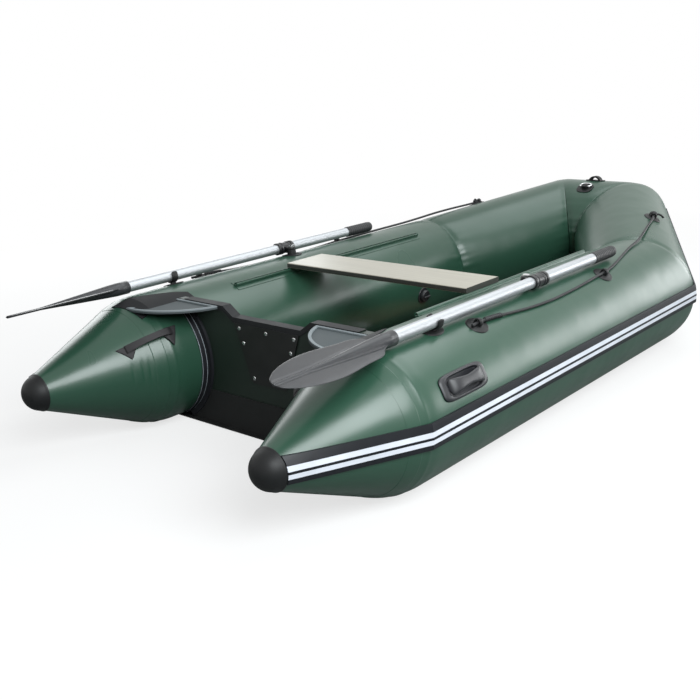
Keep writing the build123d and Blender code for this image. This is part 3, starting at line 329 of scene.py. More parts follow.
def cone_folds(y, phi):
    """Short upright folds under the strap: bell curves along the cone, faded round it."""
    inner = np.exp(-(((phi[None, :] - FOLD_PHI) / FOLD_SPREAD_PHI) ** 2))
    folds = 0.0
    for middle, depth in CONE_FOLDS:
        folds = folds - depth * np.exp(-(((y - middle) / FOLD_WIDTH) ** 2))
    return folds * inner


def side_chamber():
    """Cone and tube as rings up to the first bow mitre, closer together at laps and bends.

    The lift is the pinch and puckers by the mitre, less a soft valley at the cone's bend."""
    phi = np.linspace(0, 360, SKIN_AROUND, endpoint=False)
    plain = np.linspace(-CONE_LENGTH + 0.004, FOLDS_FROM_Y - 0.003, 22)
    folded = np.linspace(FOLDS_FROM_Y, FOLDS_TO_Y, 32)
    lap_edges = [edge + step for edge in CONE_LAP for step in (-0.0012, -0.0004, 0.0004, 0.0012)]
    lap = np.sort(np.array([-0.048, -0.039, -0.030] + lap_edges))
    bend = np.linspace(-0.016, 0.016, 9)
    last = mitre_reach(SIDE, phi, *SIDE_PLANE)
    share = 0.5 - 0.5 * np.cos(np.pi * np.linspace(0.06, 1, 190))
    ahead = 0.02 + (last[None, :] - 0.02) * (share[:, None] - share[0]) / (1 - share[0])
    aft = np.concatenate([plain, folded, lap, bend])[:, None] * np.ones_like(phi)[None, :]
    y = np.concatenate([aft, ahead])
    near = np.abs(last[None, :] - y)
    soft = BEND_DEPTH * np.exp(-((y / BEND_WIDTH) ** 2))
    lapped = LAP_T * ((y > CONE_LAP[0]) & (y < CONE_LAP[1]))
    lift = -pinch(near) + puckers(near, phi[None, :], 0.4) - soft + lapped + cone_folds(y, phi)
    return on_side(y, np.broadcast_to(phi, y.shape), lift)


def grid_faces(around, along):
    """Quads between rings of points, each ring's last point joined to its first."""
    i, j = np.meshgrid(np.arange(around), np.arange(along - 1))
    i, j = i.ravel(), j.ravel()
    after = (i + 1) % around
    rows = [j * around + i, j * around + after, (j + 1) * around + after, (j + 1) * around + i]
    return np.stack(rows, axis=1)


def closed_skin(name, *stacks):
    """Mesh of stacks of rings, each end closed by a fan to its middle, faces turned outwards."""
    points, faces, start = [], [], 0
    for rings in stacks:
        rows, columns = rings.shape[:2]
        count = rows * columns
        points.append(rings.reshape(-1, 3))
        points.append([rings[0].mean(axis=0), rings[-1].mean(axis=0)])
        around = np.arange(columns)
        after = (around + 1) % columns
        top = (rows - 1) * columns
        first = np.stack([after, around, np.full(columns, count)], axis=1)
        last = np.stack([top + around, top + after, np.full(columns, count + 1)], axis=1)
        for group in (grid_faces(columns, rows), first, last):
            faces += list(group + start)
        start += count + 2
    made = mesh_of(name, np.concatenate(points), faces)
    shell = bmesh.new()
    shell.from_mesh(made.data)
    bmesh.ops.recalc_face_normals(shell, faces=shell.faces)
    shell.to_mesh(made.data)
    shell.free()
    return made


def flip_side(thing, name):
    """The port twin of a piece: x turned round, and the faces with it."""
    mesh = thing.data.copy()
    mesh.transform([[-1, 0, 0, 0], [0, 1, 0, 0], [0, 0, 1, 0], [0, 0, 0, 1]])
    mesh.flip_normals()
    twin = bpy.data.objects.new(name, mesh)
    bpy.context.scene.collection.objects.link(twin)
    return twin


def twins(names, stacks):
    """The starboard piece that the stacks of rings make and its port twin, by side."""
    first = closed_skin(names[0], *stacks)
    return {"starboard": first, "port": flip_side(first, names[1])}


def coated_cloth(name, colour, shade, rough):
    """PVC-coated polyester, calendered: a satin skin with the scrim's print and slow waves."""
    paint, tree, place = start_paint(name)
    drift = add(tree, "TexNoise", {"Vector": place, "Scale": 3.2, "Detail": 3.0})
    tone = add(tree, "MixRGB", {1: linear(colour), 2: linear(shade), 0: drift.outputs["Fac"]})
    gloss = add(
        tree,
        "MapRange",
        {"Value": drift.outputs["Fac"], 1: 0.3, 2: 0.7, 3: rough - 0.03, 4: rough + 0.05},
    )
    # Threads of the scrim stand 1.1 mm apart and print faintly through the coat; the slow
    # wave, about 14 cm long, is the slight unevenness of a tube under low pressure.
    weave = add(tree, "TexNoise", {"Vector": place, "Scale": 900.0, "Detail": 1.0})
    wave = add(tree, "TexNoise", {"Vector": place, "Scale": 7.0, "Detail": 2.0, "Roughness": 0.4})
    slow = add(tree, "Bump", {"Height": wave.outputs["Fac"], "Strength": 0.35, "Distance": 0.010})
    fine = add(
        tree,
        "Bump",
        {
            "Height": weave.outputs["Fac"],
            "Strength": 0.05,
            "Distance": 0.0002,
            "Normal": slow.outputs["Normal"],
        },
    )
    skin = add(
        tree,
        "BsdfPrincipled",
        {
            "Base Color": tone.outputs[0],
            "Roughness": gloss.outputs[0],
            "IOR": 1.53,
            "Normal": fine.outputs["Normal"],
        },
    )
    add(tree, "OutputMaterial", {"Surface": skin.outputs[0]})
    return paint


def dress(thing, body, slot, paint, *replaced):
    """Gives a piece its body, its finish and the CAD nodes that it stands for."""
    thing.data.materials.clear()
    thing.data.materials.append(paint)
    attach(thing, body)
    if replaced:
        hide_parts(*replaced)


def repaint(paint, *names):
    """Gives CAD nodes a better finish in place of their plain one."""
    for name in names:
        nodes[name].data.materials.clear()
        nodes[name].data.materials.append(paint)


# PVC on polyester: dark green with a satin gloss that is broad and pale on the round tubes.
GREEN_CLOTH = coated_cloth("pvc_coated_cloth_green", "2b4d3d", "254435", 0.30)

side_pair = twins(("side_chamber_starboard", "side_chamber_port"), [side_chamber()])
bow_rings = mitred_skin(BOW, SIDE_PLANE, BOW_PLANE, 84, 1.7)
bow_pair = twins(("bow_chamber_starboard", "bow_chamber_port"), [bow_rings])
front_bow = closed_skin("bow_chamber_front", mitred_skin(FRONT, BOW_PLANE, PORT_PLANE, 52, 2.9))
for side in SIDES:
    dress(side_pair[side], "hull", "tube_fabric", GREEN_CLOTH, "side_tube_" + side)
    dress(bow_pair[side], "hull", "tube_fabric", GREEN_CLOTH, "bow_tube_" + side)
dress(front_bow, "hull", "tube_fabric", GREEN_CLOTH, "bow_tube_front")

# ---- cone caps and rub rail ---------------------------------------------------------
# Rubber cups close the stern cones. The rub rail is one black extrusion round the boat
# with two white strips snapped into its grooves.

CAP_EDGE_Y = -0.325
CAP_WALL = 0.002
CAP_BEAD = 0.0006
CAP_BEAD_BACK = 0.003
CAP_BEAD_WIDTH = 0.0018


def moulded(name, colour, rough, grain_mm, depth_mm, ior=1.5, spread=0.05):
    """Moulded rubber or plastic: one colour, a fine mould grain and slightly uneven gloss."""
    paint, tree, place = start_paint(name)
    grain = add(tree, "TexNoise", {"Vector": place, "Scale": 1000 / grain_mm, "Detail": 2.0})
    cloud = add(tree, "TexNoise", {"Vector": place, "Scale": 18.0, "Detail": 4.0})
    gloss = add(
        tree,
        "MapRange",
        {"Value": cloud.outputs["Fac"], 1: 0.3, 2: 0.7, 3: rough - spread, 4: rough + spread},
    )
    dusty = linear(colour)
    pale = tuple(min(1.0, v * 1.35 + 0.004) for v in dusty[:3]) + (1.0,)
    tone = add(tree, "MixRGB", {0: cloud.outputs["Fac"], 1: dusty, 2: pale})
    bump = add(
        tree, "Bump", {"Height": grain.outputs["Fac"], "Strength": 0.3, "Distance": depth_mm / 1000}
    )
    skin = add(
        tree,
        "BsdfPrincipled",
        {
            "Base Color": tone.outputs[0],
            "Roughness": gloss.outputs[0],
            "IOR": ior,
            "Normal": bump.outputs["Normal"],
        },
    )
    add(tree, "OutputMaterial", {"Surface": skin.outputs[0]})
    return paint


def cup_rings():
    """Cup on a cone's tip: a rolled edge, a straight skirt on the cone and a round nose."""
    lean = math.atan2(TUBE_R - CONE_TIP_R, CONE_LENGTH)
    inner = CONE_TIP_R / math.cos(lean)
    middle = -CONE_LENGTH + inner * math.sin(lean)
    outer = inner + CAP_WALL
    y = np.linspace(CAP_EDGE_Y, middle - outer * math.sin(lean), 14)
    bead = CAP_BEAD * np.exp(-(((y - CAP_EDGE_Y + CAP_BEAD_BACK) / CAP_BEAD_WIDTH) ** 2))
    straight = cone_radius(y) + CAP_WALL / math.cos(lean) + bead
    bend = np.linspace(lean, np.pi / 2 - 0.03, 26)[1:]
    nose = np.stack([middle - outer * np.sin(bend), outer * np.cos(bend)], axis=1)
    lip = [(CAP_EDGE_Y, cone_radius(CAP_EDGE_Y) + 0.0002)]
    rows = np.concatenate([lip, np.stack([y, straight], axis=1), nose])
    turn = np.linspace(0, 2 * np.pi, 120, endpoint=False)
    ring = np.stack([np.cos(turn), 0 * turn, np.sin(turn)], axis=1)
    return AXIS_AFT + SIDE_DIR * rows[:, 0, None, None] + ring[None] * rows[:, 1, None, None]


# Cap: compression-moulded rubber, dull black with a broad soft sheen on the round nose.
CAP_RUBBER = moulded("moulded_rubber_cap", "0e0f10", 0.52, 1.2, 0.3, 1.36)
# Rail: extruded PVC, a little smoother and so a little glossier, its strips chalk white.
RAIL_BLACK = moulded("extruded_rail_black", "101217", 0.45, 0.9, 0.15, 1.36)
RAIL_WHITE = moulded("extruded_rail_white", "c8cbd3", 0.45, 0.9, 0.1)
for side, cup in twins(("nose_cup_starboard", "nose_cup_port"), [cup_rings()]).items():
    dress(cup, "hull", "cap_rubber", CAP_RUBBER, "cone_cap_" + side)
repaint(RAIL_BLACK, "rub_rail")
repaint(RAIL_WHITE, "rail_inlays")

# ---- transom ------------------------------------------------------------------------
# Painted plywood in a black edge channel, with a hard plate on each face for the motor's
# clamp. Rubber holders grip its ends, black leaves lie on the tubes beside it, and a framed
# corner piece fills each angle between board and tube.

# Places along y where the holders' beads are painted pale as a highlight, and the width of each
# band.
HOLDER_BEAD_HIGHLIGHTS = (0.0865, 0.1035, 0.1490, 0.1662)
BEAD_WIDTH = 0.0022
# Heights between which the corner pieces' rim is painted pale, as a painted highlight.
RIM_HIGHLIGHT_FOOT_Z = 0.3622
RIM_HIGHLIGHT_TOP_Z = 0.4


def painted_board(name, colour, grain):
    """Paint on plywood: the grain of the face veneer shows through as faint long ridges."""
    paint, tree, place = start_paint(name)
    # Across the grain the veneer's rings are 2.4 mm apart, drawn coarser than they are.
    drawn = add(tree, "Mapping", {"Vector": place, "Scale": (14.0, 60.0, 420.0)})
    veneer = add(tree, "TexNoise", {"Vector": drawn.outputs[0], "Scale": 1.0, "Detail": 4.0})
    cloud = add(tree, "TexNoise", {"Vector": place, "Scale": 9.0, "Detail": 3.0})
    tone = add(tree, "MixRGB", {0: cloud.outputs["Fac"], 1: linear(colour), 2: linear(grain)})
    bump = add(tree, "Bump", {"Height": veneer.outputs["Fac"], "Strength": 0.4, "Distance": 0.0003})
    skin = add(
        tree,
        "BsdfPrincipled",
        {"Base Color": tone.outputs[0], "Roughness": 0.42, "Normal": bump.outputs["Normal"]},
    )
    add(tree, "OutputMaterial", {"Surface": skin.outputs[0]})
    return paint


def painted_highlight_bands(name, axis, dark, pale, edges, rough):
    """Rubber with a painted highlight: pale between the given places along one axis, dark
    elsewhere.
    """
    paint = moulded(name, dark, rough, 1.0, 0.2, 1.34)
    tree = paint.node_tree
    skin = next(n for n in tree.nodes if n.type == "BSDF_PRINCIPLED")
    base = skin.inputs["Base Color"].links[0].from_socket
    place = add(tree, "TexCoord").outputs["Object"]
    along = add(tree, "SeparateXYZ", {0: place}).outputs[axis]
    shown = 0.0
    for low, high in edges:
        above = add(tree, "Math", {0: along, 1: low}, operation="GREATER_THAN").outputs[0]
        below = add(tree, "Math", {0: along, 1: high}, operation="LESS_THAN").outputs[0]
        inside = add(tree, "Math", {0: above, 1: below}, operation="MULTIPLY").outputs[0]
        shown = add(tree, "Math", {0: inside, 1: shown}, operation="MAXIMUM").outputs[0]
    tone = add(tree, "MixRGB", {0: shown, 1: base, 2: linear(pale)})
    tree.links.new(tone.outputs[0], skin.inputs["Base Color"])
    return paint


# Brushed marine paint, a green so dark that it is nearly black, with a low even gloss.
BOARD_PAINT = painted_board("painted_plywood_green", "16221b", "1c2a22")
# The channel is matt extruded rubber; the plates are smooth hard plastic, a shade glossier.
CHANNEL_RUBBER = moulded("extruded_edge_channel", "17181a", 0.66, 1.0, 0.2, 1.35)
PLATE_PLASTIC = moulded("hard_plate_black", "0f100f", 0.42, 0.8, 0.15)
# Sheet rubber, cut and glued down: matt, and grey only where light grazes it.
LEAF_RUBBER = moulded("sheet_rubber_leaf", "131416", 0.66, 1.0, 0.2, 1.32)
# Moulded black holders; the bead at each edge and beside the lip is painted as a pale band, a
# painted highlight.
bead_highlights = [(SEAM_Y + y, SEAM_Y + y + BEAD_WIDTH) for y in HOLDER_BEAD_HIGHLIGHTS]
HOLDER_RUBBER = painted_highlight_bands("ribbed_holder_rubber", "Y", "1a1b1f", "8c9398", bead_highlights, 0.45)
# Moulded grey corner pieces: a dull web inside a raised rim that is painted paler, a painted
# highlight along the lip.
rim = [(RIM_HIGHLIGHT_FOOT_Z, RIM_HIGHLIGHT_TOP_Z)]
CORNER_GREY = painted_highlight_bands("moulded_corner_grey", "Z", "42484a", "858c8f", rim, 0.7)
repaint(BOARD_PAINT, "transom_board")
repaint(CHANNEL_RUBBER, "transom_channel")
repaint(PLATE_PLASTIC, "motor_plate", "inner_plate")
repaint(LEAF_RUBBER, "transom_fairings")
repaint(HOLDER_RUBBER, "transom_holder_starboard", "transom_holder_port")
repaint(CORNER_GREY, "transom_gussets")

# ---- bottom and floor ---------------------------------------------------------------
# The bottom is one sheet of heavier black cloth welded round the tubes. Three plywood
# boards lie on it, held end to end by two aluminium joining strips.


def long_grain(name, colours, rough, scale, lacquer, edge=None):
    """Wood with its grain across the boat: rings stretched along x, and a darker cut edge."""
    paint, tree, place = start_paint(name)
    drawn = add(tree, "Mapping", {"Vector": place, "Scale": scale})
    rings = add(tree, "TexNoise", {"Vector": drawn.outputs[0], "Scale": 1.0, "Detail": 5.0})
    fine = add(tree, "MapRange", {"Value": rings.outputs["Fac"], 1: 0.32, 2: 0.68, 3: 0.0, 4: 1.0})
    early, late = (linear(colour) for colour in colours)
    tone = add(tree, "MixRGB", {0: fine.outputs[0], 1: early, 2: late})
    if edge:
        facing = add(tree, "NewGeometry").outputs["Normal"]
        upward = add(tree, "SeparateXYZ", {0: facing}).outputs["Z"]
        level = add(tree, "Math", {0: upward}, operation="ABSOLUTE")
        side_on = add(tree, "Math", {0: level.outputs[0], 1: 0.5}, operation="LESS_THAN")
        tone = add(tree, "MixRGB", {0: side_on.outputs[0], 1: tone.outputs[0], 2: linear(edge)})
    bump = add(tree, "Bump", {"Height": rings.outputs["Fac"], "Strength": 0.2, "Distance": 0.0003})
    skin = add(
        tree,
        "BsdfPrincipled",
        {
            "Base Color": tone.outputs[0],
            "Roughness": rough,
            "Coat Weight": lacquer,
            "Coat Roughness": 0.2,
            "Normal": bump.outputs["Normal"],
        },
    )
    add(tree, "OutputMaterial", {"Surface": skin.outputs[0]})
    return paint


def bare_metal(name, colour, rough, stretch, streak):
    """Metal with the fine streaks of its finishing: noise stretched along one direction."""
    paint, tree, place = start_paint(name)
    drawn = add(tree, "Mapping", {"Vector": place, "Scale": stretch})
    lines = add(tree, "TexNoise", {"Vector": drawn.outputs[0], "Scale": 1.0, "Detail": 3.0})
    gloss = add(
        tree,
        "MapRange",
        {"Value": lines.outputs["Fac"], 1: 0.3, 2: 0.7, 3: rough - streak, 4: rough + streak},
    )
    bump = add(tree, "Bump", {"Height": lines.outputs["Fac"], "Strength": 0.1, "Distance": 0.0001})
    skin = add(
        tree,
        "BsdfPrincipled",
        {
            "Base Color": linear(colour),
            "Metallic": 1.0,
            "Roughness": gloss.outputs[0],
            "Normal": bump.outputs["Normal"],
        },
    )
    add(tree, "OutputMaterial", {"Surface": skin.outputs[0]})
    return paint


# Heavy PVC cloth: charcoal, with less gloss than the tubes.
BOTTOM_CLOTH = moulded("pvc_bottom_cloth", "131414", 0.55, 1.1, 0.3, 1.45)
# Varnished birch ply: warm brown, rings about 8 mm apart, dark where the plies are cut.
FLOOR_PLY = long_grain(
    "varnished_floor_ply", ("6b4c2c", "8a673f"), 0.5, (5.0, 120.0, 120.0), 0.3, "3d2c1c"
)
# Extruded aluminium with draw lines along x, about 1.1 mm apart, and a satin gloss.
SATIN_METAL = bare_metal("satin_aluminium", "c4c6c8", 0.34, (40.0, 900.0, 900.0), 0.06)
repaint(BOTTOM_CLOTH, "bottom_sheet")
repaint(FLOOR_PLY, "floor_board_1", "floor_board_2", "floor_board_3")
repaint(SATIN_METAL, "floor_joiners")

# ---- seat ---------------------------------------------------------------------------
# A laminated board with a dark edge. Under each end a slider runs in a track of the tube's
# own cloth, welded to the skin.

# Pale grey lacquered laminate with a fine long grain, rings about 6 mm apart.
SEAT_TOP = long_grain(
    "laminated_seat_board", ("b3ae9f", "a29d8e"), 0.42, (3.0, 160.0, 160.0), 0.2, "33332f"
)
repaint(SEAT_TOP, "seat")
repaint(GREEN_CLOTH, "seat_track_starboard", "seat_track_port")
repaint(SATIN_METAL, "seat_slider_starboard", "seat_slider_port")


# ---- oars ---------------------------------------------------------------------------
# Each oar lies on top of its tube: a moulded blade with a tapered rib and a socket, an
# aluminium shaft in two lengths, stop rings beside the oarlock and a ribbed rubber grip.

OAR_PHI = 75.0
OAR_LIFT = 0.026
SOCKET_R = 0.019
BLADE_TIP_Y = -0.354
BLADE_NECK_Y = -0.005
BLADE_HALF = 0.060
SOCKET_END_Y = 0.037
GRIP_START_Y = 1.032
GRIP_LENGTH = 0.132
GRIP_R = 0.0170
GRIP_RIB = 0.0011
GRIP_RIB_STEP = 0.0105
COLLAR_LENGTH = 0.012
COLLAR_BORE_R = 0.0163
COLLAR_R = 0.0203
COLLAR_PLAY = 0.0005
LOCK_Y = 0.700
LOCK_HALF = 0.023
GROOVE_DEPTH = 0.0017
GROOVE_WIDTH = 0.0030
GROOVE_OFFSET = 0.0036


def skin_axes(run, s, phi):
    """A place on a tube's skin, with the directions along it, round it and out of it."""
    spot = on_tube(run, np.array(s), np.array(phi))
    turn = math.radians(phi)
    normal = run[2] * math.cos(turn) + np.cross(run[2], run[1]) * math.sin(turn)
    return spot, run[1], np.cross(normal, run[1]) * -1.0, normal


_, OAR_DIR, OAR_SIDE, OAR_OUT = skin_axes(SIDE, 0.0, OAR_PHI)
OAR_START = on_tube(SIDE, np.array(0.0), np.array(OAR_PHI), np.array(OAR_LIFT))


def flowing(points, steps):
    """A smooth line through points: cubic between each pair, slopes from their neighbours."""
    points = np.asarray(points, dtype=float)
    gone = np.concatenate([[0.0], np.cumsum(np.linalg.norm(np.diff(points, axis=0), axis=1))])
    slope = np.gradient(points, gone, axis=0)
    at = np.linspace(0, gone[-1], steps)
    k = np.clip(np.searchsorted(gone, at, side="right") - 1, 0, len(gone) - 2)
    span = (gone[k + 1] - gone[k])[:, None]
    t = ((at - gone[k]) / (gone[k + 1] - gone[k]))[:, None]
    start, finish = (2 * t**3 - 3 * t**2 + 1) * points[k], (3 * t**2 - 2 * t**3) * points[k + 1]
    leave, reach = (t**3 - 2 * t**2 + t) * slope[k], (t**3 - t**2) * slope[k + 1]
    return start + finish + span * (leave + reach)


def lathed(axis, profile, around=48, start=0.0):
    """Rings of a turned piece: axis is a place and three directions, profile rows (z, radius)."""
    spot, first, second, along = axis
    z, radius = np.asarray(profile, dtype=float).T
    turn = start + np.linspace(0, 2 * np.pi, around, endpoint=False)
    ring = first * np.cos(turn)[:, None] + second * np.sin(turn)[:, None]
    return spot + along * z[:, None, None] + ring[None] * radius[:, None, None]


def blade_rings():
    """Rings across the blade: half its thickness is the root of leaf squared plus rib squared.

    The half width follows a smooth outline from the socket to the tip; the rib is round and
    narrows towards the tip, and a shallow groove runs down each side of it."""
    tip = BLADE_TIP_Y - BLADE_NECK_Y
    socket = [(SOCKET_END_Y, SOCKET_R), (0.010, SOCKET_R), (BLADE_NECK_Y, SOCKET_R)]
    edge = flowing(
        [
            (BLADE_NECK_Y, SOCKET_R),
            (BLADE_NECK_Y + tip * 0.055, BLADE_HALF * 0.46),
            (BLADE_NECK_Y + tip * 0.11, BLADE_HALF * 0.70),
            (BLADE_NECK_Y + tip * 0.30, BLADE_HALF * 0.86),
            (BLADE_NECK_Y + tip * 0.62, BLADE_HALF),
            (BLADE_NECK_Y + tip * 0.80, BLADE_HALF * 0.83),
            (BLADE_NECK_Y + tip * 0.92, BLADE_HALF * 0.55),
            (BLADE_NECK_Y + tip * 0.985, BLADE_HALF * 0.24),
            (BLADE_TIP_Y, 0.0008),
        ],
        96,
    )
    s, half = np.concatenate([socket, edge[1:]]).T
    rib = np.interp(
        s,
        [BLADE_TIP_Y + 0.100, BLADE_NECK_Y - 0.130, BLADE_NECK_Y],
        [0.0029, 0.011, SOCKET_R],
    )
    rib = np.minimum(rib, half)
    leaf = np.interp(s, [BLADE_TIP_Y, BLADE_NECK_Y - 0.03, BLADE_NECK_Y], [0.0022, 0.003, 0.0])
    turn = np.linspace(0, 2 * np.pi, 120, endpoint=False)
    spread = 0.42 * np.cos(turn) + 0.58 * np.cos(turn) ** 3
    u = half[:, None] * spread[None, :]
    thin = leaf[:, None] * np.sqrt(np.clip(1 - spread[None, :] ** 8, 0, 1))
    round_part = np.clip(rib[:, None] ** 2 - u**2, 0, None)
    v = np.sqrt(thin**2 + round_part)
    beside = np.abs(u) - rib[:, None] - GROOVE_OFFSET
    groove = GROOVE_DEPTH * np.exp(-((beside / GROOVE_WIDTH) ** 2))
    v = v - groove * (leaf[:, None] > 0.002) * (np.abs(spread[None, :]) < 0.9)
    v = v * np.sign(np.sin(turn) + 1e-9)[None, :]
    v[:, np.abs(np.sin(turn)) < 1e-9] = 0.0
    s = s[:, None, None]
    return OAR_START + OAR_DIR * s + OAR_SIDE * u[..., None] + OAR_OUT * v[..., None]


def oar_axis(y):
    """Place and directions of a piece turned about the oar's shaft."""
    return (OAR_START + OAR_DIR * y, OAR_SIDE, OAR_OUT, OAR_DIR)


def grip_profile():
    """Grip as radius along the shaft: eleven round ribs, a collar aft and a domed end."""
    z = np.linspace(0.0, GRIP_LENGTH, 160)
    ribbed = (z > 0.012) & (z < GRIP_LENGTH - 0.008)
    ribs = GRIP_RIB * np.abs(np.sin(np.pi * z / GRIP_RIB_STEP)) * ribbed
    radius = GRIP_R + ribs + 0.0013 * np.exp(-(((z - 0.004) / 0.004) ** 2))
    body = np.stack([z, radius], axis=1)
    bend = np.linspace(0, np.pi / 2, 10)[:-1]
    dome = np.stack([GRIP_LENGTH + 0.006 * np.sin(bend), 0.011 + 0.006 * np.cos(bend)], axis=1)
    return np.concatenate([[[0.0, 0.0162]], body, dome])


def collar_profile(low):
    """A stop ring with rounded edges, from the bore's edge outwards and back."""
    high, edge = low + COLLAR_LENGTH, 0.0008
    start = [(low, COLLAR_BORE_R), (low, COLLAR_R - edge), (low + edge, COLLAR_R)]
    return start + [(high - edge, COLLAR_R), (high, COLLAR_R - edge), (high, COLLAR_BORE_R)]


# Anodised tube: fine draw lines along the shaft, 1.1 mm apart, and a soft silver gloss.
SHAFT_METAL = bare_metal("anodised_aluminium_tube", "b0b3b6", 0.50, (900.0, 14.0, 900.0), 0.05)
# Blade: injection-moulded nylon, dark grey, with a faint cloudy sheen from handling.
BLADE_PLASTIC = moulded("moulded_blade_grey", "1f2023", 0.40, 1.4, 0.3, 1.5, 0.06)
# Grip: soft black rubber, almost without gloss. Stop rings: hard plastic with some gloss.
GRIP_RUBBER = moulded("ribbed_grip_rubber", "101113", 0.55, 0.8, 0.2)
LOCK_PLASTIC = moulded("moulded_lock_plastic", "0e0f11", 0.38, 1.0, 0.15)
reach = LOCK_HALF + COLLAR_PLAY
stops = [collar_profile(LOCK_Y - reach - COLLAR_LENGTH), collar_profile(LOCK_Y + reach)]
collar_rings = [lathed(oar_axis(0.0), rows, 64) for rows in stops]
grip_rings = lathed(oar_axis(GRIP_START_Y), grip_profile())
blades = twins(("blade_starboard", "oar_blade_skin_port"), [blade_rings()])
grips = twins(("grip_starboard", "oar_grip_skin_port"), [grip_rings])
collars = twins(("collars_starboard", "oar_collars_skin_port"), collar_rings)
for side in SIDES:
    dress(blades[side], "oar_" + side, "blade_plastic", BLADE_PLASTIC, "oar_blade_" + side)
    dress(grips[side], "oar_" + side, "grip_rubber", GRIP_RUBBER, "oar_grip_" + side)
    dress(collars[side], "oar_" + side, "lock_plastic", LOCK_PLASTIC, "oar_collars_" + side)
    repaint(SHAFT_METAL, "oar_shaft_lower_" + side, "oar_shaft_upper_" + side)

# ---- oarlocks -----------------------------------------------------------------------
# A hard plastic sleeve with two raised bands turns round a steel pin on a flat arm; the
# pin stands in a boss on a round foot that is glued to the tube.

LOCK_TILT = math.radians(84.0)
LOCK_R = 0.0186
LOCK_BORE_R = 0.0166
LOCK_BAND = 0.0019
LOCK_BAND_Z = 0.015
ARM_R = 0.015
ARM_HALF = 0.005
ARM_START = 0.0195
PIN_OFFSET = 0.036
PIN_UP = np.array([math.cos(LOCK_TILT), 0.0, math.sin(LOCK_TILT)])
PIN_OUT = np.cross(OAR_DIR, PIN_UP)
PIN_START = OAR_START + OAR_DIR * LOCK_Y - PIN_OUT * PIN_OFFSET
PIN_AXIS = (PIN_START, PIN_OUT, OAR_DIR, PIN_UP)


def lock_rings():
    """Sleeve: a tube with two bands and rounded mouths, drawn from bore to bore."""
    z = np.linspace(-LOCK_HALF, LOCK_HALF, 60)
    bands = np.exp(-((np.abs(np.abs(z) - LOCK_BAND_Z) / 0.0042) ** 4))
    outer = np.stack([z, LOCK_R + LOCK_BAND * bands], axis=1)
    mouths = [(-LOCK_HALF, LOCK_BORE_R), (LOCK_HALF, LOCK_BORE_R)]
    rows = np.concatenate([mouths[:1], outer, mouths[::-1]])
    return lathed(oar_axis(LOCK_Y), rows, 64)


def slab_rings(axis, length, low, high, radius, around=64):
    """Flat arm of a lock: a long round-ended outline with rounded edges, between two heights."""
    spot, out, along, up = axis
    turn = np.linspace(0, 2 * np.pi, around, endpoint=False)
    x = radius * np.cos(turn) + length * (np.cos(turn) > 0)
    outline = out * x[:, None] + along * (radius * np.sin(turn))[:, None]
    middle = out * (length / 2)
    rows = [(0.86, low), (0.97, low + 0.0005), (1.0, low + 0.002)]
    rows += [(1.0, high - 0.002), (0.97, high - 0.0005), (0.86, high)]
    return np.stack([spot + up * z + middle + (outline - middle) * k for k, z in rows])


# Chromed steel pins: bright, with only a trace of polishing marks.
CHROME = bare_metal("bright_chrome", "d6d8da", 0.12, (300.0, 300.0, 300.0), 0.03)
# Moulded fittings on the skin: black rubber with a fine grain and a low sheen.
FITTING_RUBBER = moulded("moulded_fitting_rubber", "0b0c0d", 0.50, 1.0, 0.25, 1.38)
arm = slab_rings(PIN_AXIS, PIN_OFFSET - ARM_START, -ARM_HALF, ARM_HALF, ARM_R)
locks = twins(("oarlock_skin_starboard", "oarlock_skin_port"), [lock_rings(), arm])
for side, lock in locks.items():
    dress(lock, "lock_" + side, "lock_plastic", LOCK_PLASTIC, "oarlock_" + side)
repaint(CHROME, "oarlock_pins")
repaint(FITTING_RUBBER, "oarlock_bases")

# ---- clips, eyes and their pads -----------------------------------------------------
# Soft black rubber mouldings glued to the skin: an open clip for each stowed shaft, and
# three eyes a side that the lifeline runs through, each on a round pad with a raised hub.

PAD_HALF = (0.036, 0.031)
EYE_R = 0.0088
EYE_LIFT = 0.0086
CLIP_Y = 0.205
CLIP_R = 0.0188
CLIP_LIP = 0.0024
EYE_PLACES = ((SIDE, 0.345, 63.0), (SIDE, 1.030, 60.0), (BOW, 0.272, 65.0))
ROUND = [(angle, 1.0) for angle in range(0, 360, 15)]


def soft_outline(edges, power, around):
    """Radius of a rounded polygon in each direction: edges are (outward angle, distance).

    A sum of powers of each edge's share takes the nearest edge and rounds the corners."""
    share = 0.0
    for angle, distance in edges:
        share = share + (np.clip(np.cos(around - math.radians(angle)), 0, None) / distance) ** power
    return share ** (-1 / power)


def moulded_pad(run, s, phi, half, heights, edges=ROUND, power=24.0, around=72, skin=on_tube):
    """Rings of a pad that follows a tube's skin, from its middle to its rim and back under.

    half is its half length and half width; heights are rows (share of outline, lift)."""
    turn = np.linspace(0, 2 * np.pi, around, endpoint=False)
    radius = soft_outline(edges, power, turn)
    x, y = half[0] * radius * np.cos(turn), half[1] * radius * np.sin(turn)
    rows = list(heights) + [(0.97, 0.0003), (0.02, 0.0003)]
    share, lift = np.array(rows).T[:, :, None]
    return skin(run, s + share * x, phi + np.degrees(share * y / TUBE_R), lift + 0.0 * x)


def bent_bar(centre, side, up, half_side, half_up, power=3.0, around=28):
    """Rings along a line: each is a rounded rectangle with the half sizes given for it."""
    turn = np.linspace(0, 2 * np.pi, around, endpoint=False)
    round_off = (np.abs(np.cos(turn)) ** power + np.abs(np.sin(turn)) ** power) ** (-1 / power)
    a = np.broadcast_to(half_side, len(centre))[:, None, None] * (np.cos(turn) * round_off)[:, None]
    b = np.broadcast_to(half_up, len(centre))[:, None, None] * (np.sin(turn) * round_off)[:, None]
    side = np.broadcast_to(side, centre.shape)[:, None, :]
    up = np.broadcast_to(up, centre.shape)[:, None, :]
    return centre[:, None, :] + side * a + up * b


def rounded_ends(count, full=0.12):
    """Share of full size along a bar: one in the middle, a quarter circle down at each end."""
    t = np.linspace(0, 1, count)
    near = np.clip(np.minimum(t, 1 - t) / full, 0, 1)
    return t, np.sqrt(np.clip(1 - (1 - near) ** 2, 0.02, 1))


